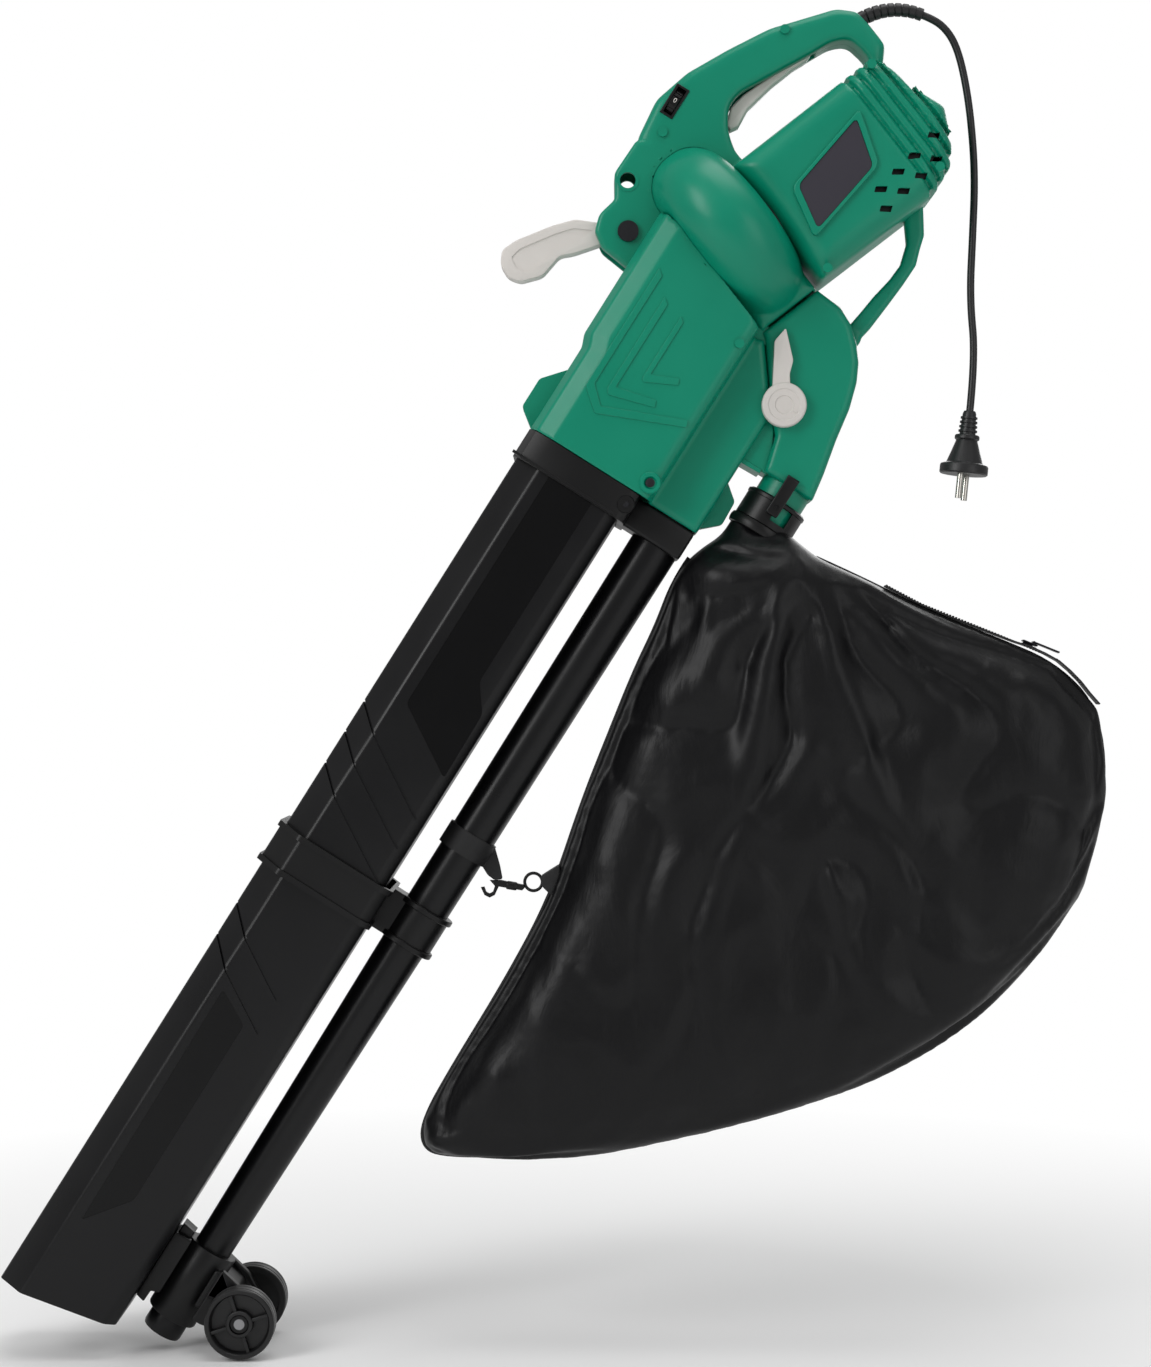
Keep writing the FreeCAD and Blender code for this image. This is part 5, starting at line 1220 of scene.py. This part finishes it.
@dataclass
class Wheels:
    """The two small wheels at the foot, each turned with a dished face and four spokes."""

    axle: Point = (164.5, -1045)
    radius: float = 26.4
    inner: float = 29.0
    outer: float = 46.0

    def build(self) -> None:
        """Make both wheels; their caps stay as they are."""
        for name, node, body, far in (("wheel_near", "wheel_left", Body.LEFT_WHEEL, False), ("wheel_far", "wheel_right", Body.RIGHT_WHEEL, True)):
            piece(self.wheel(far), name, Frame.MACHINE, WHEEL_BLACK, body, (node,), sharp=32)
        dress("axle_caps", BLACK_TRIM)

    def wheel(self, far: bool) -> BMesh:
        """One wheel: tread with two grooves, rim, dished web, hub and spokes."""
        r, i, o = self.radius, self.inner, self.outer
        profile = (
            (4.06, i),
            (9, i),
            (9.6, i + 1),
            (9.6, i + 5),
            (21, i + 5),
            (21.5, i),
            (r - 0.8, i),
            (r, i + 0.8),
            (r, i + 4.4),
            (r - 0.7, i + 4.9),
            (r - 0.7, i + 5.6),
            (r, i + 6.1),
            (r, o - 4.8),
            (r - 0.7, o - 4.3),
            (r - 0.7, o - 3.6),
            (r, o - 3.1),
            (r, o - 0.9),
            (r - 0.9, o),
            (r - 3.4, o),
            (r - 4.2, o - 0.9),
            (21.2, o - 6),
            (10.6, o - 6),
            (10.1, o - 0.6),
            (9.4, o),
            (7.4, o),
            (7.2, o - 4),
            (4.06, o - 4),
            (4.06, i),
        )
        hub = spun([(radius, -y) for radius, y in profile], 80, (0, 0, 0), "Y")
        spokes = [moved(box((9, 22.4), (-o + 1.2, -o + 7), (-1.3, 1.3), 0.5), Matrix.Rotation(radians(a), 4, "Y")) for a in (40, 130, 220, 310)]
        whole = joined(hub, *spokes)
        whole = moved(whole, Matrix.Translation((self.axle[0], 0, self.axle[1])))
        if far:
            near = whole
            whole = mirrored(near)
            near.free()
        return whole


# ---------------------------------------------------------------- bag


@dataclass
class Bag:
    """The collecting bag with its collar, zip and straps; its cloth is worked in the row frame."""

    outline: Outline = (
        (-56, -377), (-78, -393), (-90, -410), (-103, -445), (-120, -480), (-140, -530), (-160, -580), (-185, -655), (-220, -720), (-260, -785),
        (-283, -826), (-284, -846), (-270, -854), (-210, -854), (-165, -848), (-120, -840), (-70, -829), (-20, -817), (25, -802), (70, -786), (130, -757),
        (185, -706), (225, -650), (244, -575), (238, -510), (205, -475), (160, -456), (100, -432), (60, -411), (20, -393), (-10, -368),
    )
    middle: Point = (20, -630)
    levels: Sequence[Point] = ((0, 1.0), (22, 0.985), (41.8, 0.92), (52, 0.84), (58, 0.72))
    zip_line: Outline = ((72, -417.2), (100, -432), (160, -456), (205, -475), (236, -508))
    fold_source: Point = (14, -392)
    spigot_x: float = 179.0

    def build(self) -> None:
        """Make the cloth, then its trims."""
        self.collar()
        self.cloth()
        self.piping()
        self.zip()
        self.straps()

    def cloth(self) -> None:
        """Loft the two faces out from the seam, crease them, let them sag and finish them smooth."""
        bm = bmesh.new()
        face = bm.faces.new([bm.verts.new((x, 0, z)) for x, z in self.outline])
        bevel(bm, bm.verts[:], 7, 2, "VERTICES")
        middle = Vector((self.middle[0], 0, self.middle[1]))
        face = bm.faces[:][0]
        bm.faces.remove(face)
        seam = bm.edges[:]
        rims = []
        for side in (-1, 1):
            rim = seam
            for (y0, s0), (y1, s1) in zip(self.levels, self.levels[1:]):
                made = bmesh.ops.extrude_edge_only(bm, edges=rim)
                verts = [v for v in made["geom"] if isinstance(v, bmesh.types.BMVert)]
                rim = [e for e in made["geom"] if isinstance(e, bmesh.types.BMEdge) and all(v in verts for v in e.verts)]
                bmesh.ops.translate(bm, vec=(0, side * (y1 - y0), 0), verts=verts)
                bmesh.ops.scale(bm, vec=(s1 / s0, 1, s1 / s0), space=Matrix.Translation(-middle), verts=verts)
            rims.append(rim)
        for rim in rims:
            bmesh.ops.edgeloop_fill(bm, edges=rim)
        bmesh.ops.recalc_face_normals(bm, faces=bm.faces[:])
        neck = spun(((0, -325.5), (23.8, -325.5), (23.8, -386), (0, -392)), 40, (self.spigot_x, 0, 0))
        neck = moved(neck, Frame.MACHINE.to(Frame.ROW))
        skin = blended(joined(bm, neck), 5.0, 5)
        self.crease(skin)
        cloth = self.sagged(skin)
        bmesh.ops.smooth_vert(cloth, verts=cloth.verts[:], factor=0.4, use_axis_x=True, use_axis_y=True, use_axis_z=True)
        made = piece(cloth, "bag_cloth_shell", Frame.ROW, BAG_NYLON, Body.MACHINE, ("collecting_bag",), sharp=180)
        finer = made.modifiers.new("finer", "SUBSURF")
        finer.levels = finer.render_levels = 1

    def crease(self, skin: BMesh) -> None:
        """Press folds that fan out from the neck into both faces, deepest near it, with slack ones along the foot."""
        for vert in skin.verts:
            x, y, z = vert.co
            side = -1 if y < 0 else 1
            away = Vector((x - self.fold_source[0], z - self.fold_source[1]))
            distance = away.length
            angle = Vector((0, -1)).angle_signed(away, 0.0) if distance > 1 else 0.0
            wander = noise.noise(Vector((x / 90, side * 3.1, z / 90)))
            fan = abs(sin(angle * 6.5 + wander * 3.4 + side)) ** 0.55
            reach = max(0.0, min(1.0, (distance - 20) / 60)) * max(0.12, 1.0 - distance / 470)
            slack = noise.noise(Vector((x / 46 + z / 130, side * 7.0, z / 60 - x / 200)))
            face = max(0.0, min(1.0, (abs(y) - 12) / 26))
            depth = face * (12.0 * reach * (1 - fan) * 1.5 + 4.5 * abs(slack) ** 0.8 + 3.0 * (1 - abs(noise.noise(Vector((x / 28, side * 2.0, z / 44))))) * 0.6)
            vert.co.y -= side * depth

    def sagged(self, skin: BMesh) -> BMesh:
        """Run the cloth for a few frames with a little air in it, pinned at the neck.

        Args:
            skin: The creased skin.

        Returns:
            The settled skin, no point moved further than the cap.
        """
        cap = 9.0
        rest = [v.co.copy() for v in skin.verts]
        bag = scratch(moved(skin, Matrix.Scale(0.001, 4)))
        neck = bag.vertex_groups.new(name="neck")
        neck.add([v.index for v in bag.data.vertices if v.co.z > -0.415 or abs(v.co.y) < 0.011], 1.0, "REPLACE")
        cloth = bag.modifiers.new("cloth", "CLOTH")
        cloth.settings.quality, cloth.settings.mass = 6, 0.25
        cloth.settings.tension_stiffness = cloth.settings.compression_stiffness = 25
        cloth.settings.bending_stiffness = 0.6
        cloth.settings.vertex_group_mass = "neck"
        cloth.settings.use_pressure, cloth.settings.uniform_pressure_force = True, 0.6
        cloth.settings.effector_weights.gravity = 0.35
        cloth.collision_settings.use_collision = False
        cloth.point_cache.frame_start, cloth.point_cache.frame_end = 1, 14
        for step in range(1, 15):
            bpy.context.scene.frame_set(step)
        settled_skin = evaluated(bag)
        bpy.context.scene.frame_set(1)
        for vert, start in zip(settled_skin.verts, rest):
            shift = vert.co * 1000 - start
            vert.co = start + (shift if shift.length <= cap else shift.normalized() * cap)
        return settled_skin

    def piping(self) -> None:
        """The corded seam round the bag's edge, and the thick bound rim at its neck."""
        seam = bpy.data.curves.new("seam_line", "CURVE")
        seam.dimensions, seam.bevel_depth, seam.bevel_resolution, seam.resolution_u = "3D", 0.0017, 3, 6
        line = seam.splines.new("NURBS")
        path = self.outline[1:-1]
        line.points.add(len(path) - 1)
        middle = Vector(self.middle)
        for point, corner in zip(line.points, path):
            x, z = middle + (Vector(corner) - middle) * 0.997
            point.co = (x / 1000, 0.0, z / 1000, 1.0)
        line.order_u, line.use_endpoint_u = 3, True
        made = bpy.data.objects.new("bag_piping", seam)
        bpy.context.scene.collection.objects.link(made)
        settled(made, WEBBING, Body.MACHINE, ())
        rim = spun(((23.6, -333), (25.3, -332.4), (26, -330), (26, -327.4), (25.3, -325.2), (23.6, -324.8), (23.6, -333)), 64, (self.spigot_x, 0, 0))
        piece(rim, "bag_neck_rim", Frame.MACHINE, BLACK_TRIM, Body.MACHINE, ())

    def collar(self) -> None:
        """The black ring on the spigot with its cut-out and latch."""
        x = self.spigot_x
        ring = spun(((20.1, -325), (23.2, -325), (24, -324.2), (24, -303), (23.2, -302.2), (20.1, -302.2), (20.1, -325)), 72, (x, 0, 0))
        ring = carved(ring, box((x + 1, x + 14), (-30, 0), (-319, -306)))
        bead = spun(((23.6, -306.4), (24.6, -305.8), (24.6, -303.4), (23.6, -302.6), (23.6, -306.4)), 72, (x, 0, 0))
        piece(joined(ring, bead), "neck_ring", Frame.MACHINE, BLACK_TRIM, Body.MACHINE, ("bag_collar",))
        tab = slab(((x - 5, -316), (x - 5, -286), (x - 3.4, -283), (x + 3.4, -283), (x + 5, -286), (x + 5, -316)), -28.9, -24.5, corner=1.6, edge=1.1)
        barrel = spun(((0, -5), (2.1, -5), (2.3, -4.6), (2.3, 4.6), (2.1, 5), (0, 5)), 28, (x, -26.65, -285), "X")
        hollow = spun(((0, -30), (2.2, -30), (2.2, -27.6), (0, -27.6)), 24, (x, 0, -309), "Y")
        piece(joined(carved(tab, hollow), barrel), "latch_tab", Frame.MACHINE, BLACK_TRIM, Body.LATCH, ("bag_latch",))

    def zip(self) -> None:
        """The zip along the top edge: tape, coil teeth, slider and pull."""
        tape = bmesh.new()
        normal = (0.42, 0.9)
        line = self.zip_line
        verts = [tape.verts.new((x + normal[0] * 1.6, -6.6, z + normal[1] * 1.6)) for x, z in line]
        edges = [tape.edges.new(pair) for pair in zip(verts, verts[1:])]
        made = bmesh.ops.extrude_edge_only(tape, edges=edges)
        bmesh.ops.translate(tape, vec=(0, 13.2, 0), verts=[v for v in made["geom"] if isinstance(v, bmesh.types.BMVert)])
        bmesh.ops.subdivide_edges(tape, edges=tape.edges[:], cuts=3, use_grid_fill=True, smooth=0.6)
        bmesh.ops.solidify(tape, geom=tape.faces[:], thickness=1.1)
        bmesh.ops.recalc_face_normals(tape, faces=tape.faces[:])
        piece(tape, "zip_band", Frame.ROW, ZIP_TAPE, Body.MACHINE, ("zipper",))
        teeth = []
        for (x0, z0), (x1, z1) in zip(line, line[1:]):
            run = Vector((x1 - x0, z1 - z0))
            count = int(run.length / 2.4)
            for i in range(count):
                at = Vector((x0, z0)) + run * (i + 0.5) / count
                tooth = box((-0.7, 0.7), (-1.9, 1.9), (-0.5, 0.7), 0.3)
                lean = Matrix.Rotation(-Vector((1, 0)).angle_signed(run) * -1, 4, "Y")
                teeth.append(moved(tooth, Matrix.Translation((at.x + normal[0] * 2.9, 0, at.y + normal[1] * 2.9)) @ lean))
        piece(joined(*teeth), "zip_teeth", Frame.ROW, BLACK_TRIM, Body.MACHINE, ())
        lean = Matrix.Translation((183, 0, -462.4)) @ Matrix.Rotation(radians(22), 4, "Y")
        slider = joined(box((-6, 6), (-4.6, 4.6), (0.2, 1.6), 0.6), box((-6, 6), (-4.6, 4.6), (2.6, 4.0), 0.6), box((-5, 3), (-1.2, 1.2), (0.5, 4), 0.4))
        piece(moved(slider, lean), "zip_runner", Frame.ROW, BLACK_ZINC, Body.MACHINE, ("zipper_slider",))
        pull = carved(slab(((2.2, 4.35), (23.6, 4.35), (23.6, 5.75), (2.2, 5.75)), -3.8, 3.8, edge=0.5), spun(((0, 0), (2, 0), (2, 10), (0, 10)), 24, (19.5, 0, 0)))
        eye = spun(((0, -3.9), (0.9, -3.9), (0.9, 3.9), (0, 3.9)), 20, (2.5, 0, 5.05), "Y")
        piece(moved(joined(pull, eye), lean), "zip_tab", Frame.ROW, BLACK_ZINC, Body.PULLER, ("zipper_pull",))

    def straps(self) -> None:
        """The loop round the pipe, the snap hook, the ring and the bag's short strap."""
        x, low, high, r = 117.0, -660, -642, 18.85
        loop = spun(((r, low), (r + 1.3, low), (r + 1.3, high), (r, high), (r, low)), 64, (x, 0, 0))
        tab = slab(((x + r, high), (x + r, low), (143, -663.5), (149.5, -664), (154.5, -660), (147, -652)), -1.0, 1.0, corner=1.5)
        piece(joined(loop, tab), "pipe_strap", Frame.MACHINE, WEBBING, Body.MACHINE, ("tube_strap",), sharp=50)
        hook = slab(((-231, -641.5), (-222, -641.5), (-205, -645), (-203.6, -647), (-206, -649.5), (-224, -646.5), (-227, -653), (-231, -655), (-235, -653), (-237.8, -647), (-235, -646.6), (-233.5, -650.5), (-231, -651.8), (-228.5, -650.5), (-227, -646)), -2.4, 2.4, edge=1.0)
        swivel = spun(((0, -4), (2.9, -4), (3.3, -3), (3.3, 3), (2.9, 4), (0, 4)), 28)
        swivel = moved(swivel, Matrix.Translation((-214, 0, -645.9)) @ Matrix.Rotation(radians(99), 4, "Y"))
        piece(joined(hook, swivel), "bag_hook", Frame.ROW, BLACK_TRIM, Body.MACHINE, ("snap_hook",), sharp=45)
        section = bmesh.new()
        bmesh.ops.create_circle(section, cap_ends=False, segments=14, radius=1.25, matrix=Matrix.Translation((6.75, 0, 0)) @ Matrix.Rotation(pi / 2, 4, "X"))
        bmesh.ops.spin(section, geom=section.edges[:] + section.verts[:], cent=(0, 0, 0), axis=(0, 0, 1), angle=2 * pi, steps=48, use_merge=True)
        bmesh.ops.remove_doubles(section, verts=section.verts[:], dist=0.001)
        bmesh.ops.recalc_face_normals(section, faces=section.faces[:])
        piece(moved(section, Matrix.Translation((-197.3, 0, -643)) @ Matrix.Rotation(pi / 2, 4, "X")), "strap_loop", Frame.ROW, BLACK_TRIM, Body.MACHINE, ("strap_ring",))
        strap = slab(((-191.6, -638.5), (-190.6, -646), (-185.5, -651), (-181, -655), (-175.3, -650), (-177.3, -629.5), (-183, -633)), -9, 9, corner=1.6, edge=1.2)
        piece(strap, "bag_tether", Frame.ROW, WEBBING, Body.MACHINE, ("bag_strap",))


# ---------------------------------------------------------------- motor


@dataclass
class Motor:
    """The motor and fan inside, whose CAD shapes stay."""

    finishes: dict[str, Finish] = field(
        default_factory=lambda: {
            "motor_mount": BLACK_TRIM,
            "stator_core": LAMINATIONS,
            "field_coils": COPPER,
            "armature_core": LAMINATIONS,
            "armature_windings": COPPER,
            "motor_shaft": STEEL,
            "commutator": COPPER,
            "upper_bearing": STEEL,
            "lower_bearing": STEEL,
            "brush_holders": BRASS,
            "carbon_brushes": CARBON,
            "end_bracket": BLACK_TRIM,
            "cooling_fan": BLACK_TRIM,
            "impeller": BLACK_TRIM,
            "impeller_nut": STEEL,
        }
    )

    def build(self) -> None:
        """Give each node the finish of the real part."""
        for name, finish in self.finishes.items():
            dress(name, finish)


def write_sizes() -> None:
    """Update the view layer; nothing is written."""
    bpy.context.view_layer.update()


def main() -> None:
    """Build the studio, then the object from its lead inwards."""
    logging.basicConfig(level=logging.INFO, format="%(message)s")
    Studio().build()
    Lead().build()
    case = FanCase()
    grown = moved(case.solid(grow=0.3), Frame.MOTOR.to(Frame.MACHINE))
    Housing().build(grown.copy())
    case.build()
    Duct().build(grown)
    Outlet().build()
    Controls().build()
    Tubes().build()
    Wheels().build()
    Bag().build()
    Motor().build()
    write_sizes()


if __name__ == "__main__":
    main()
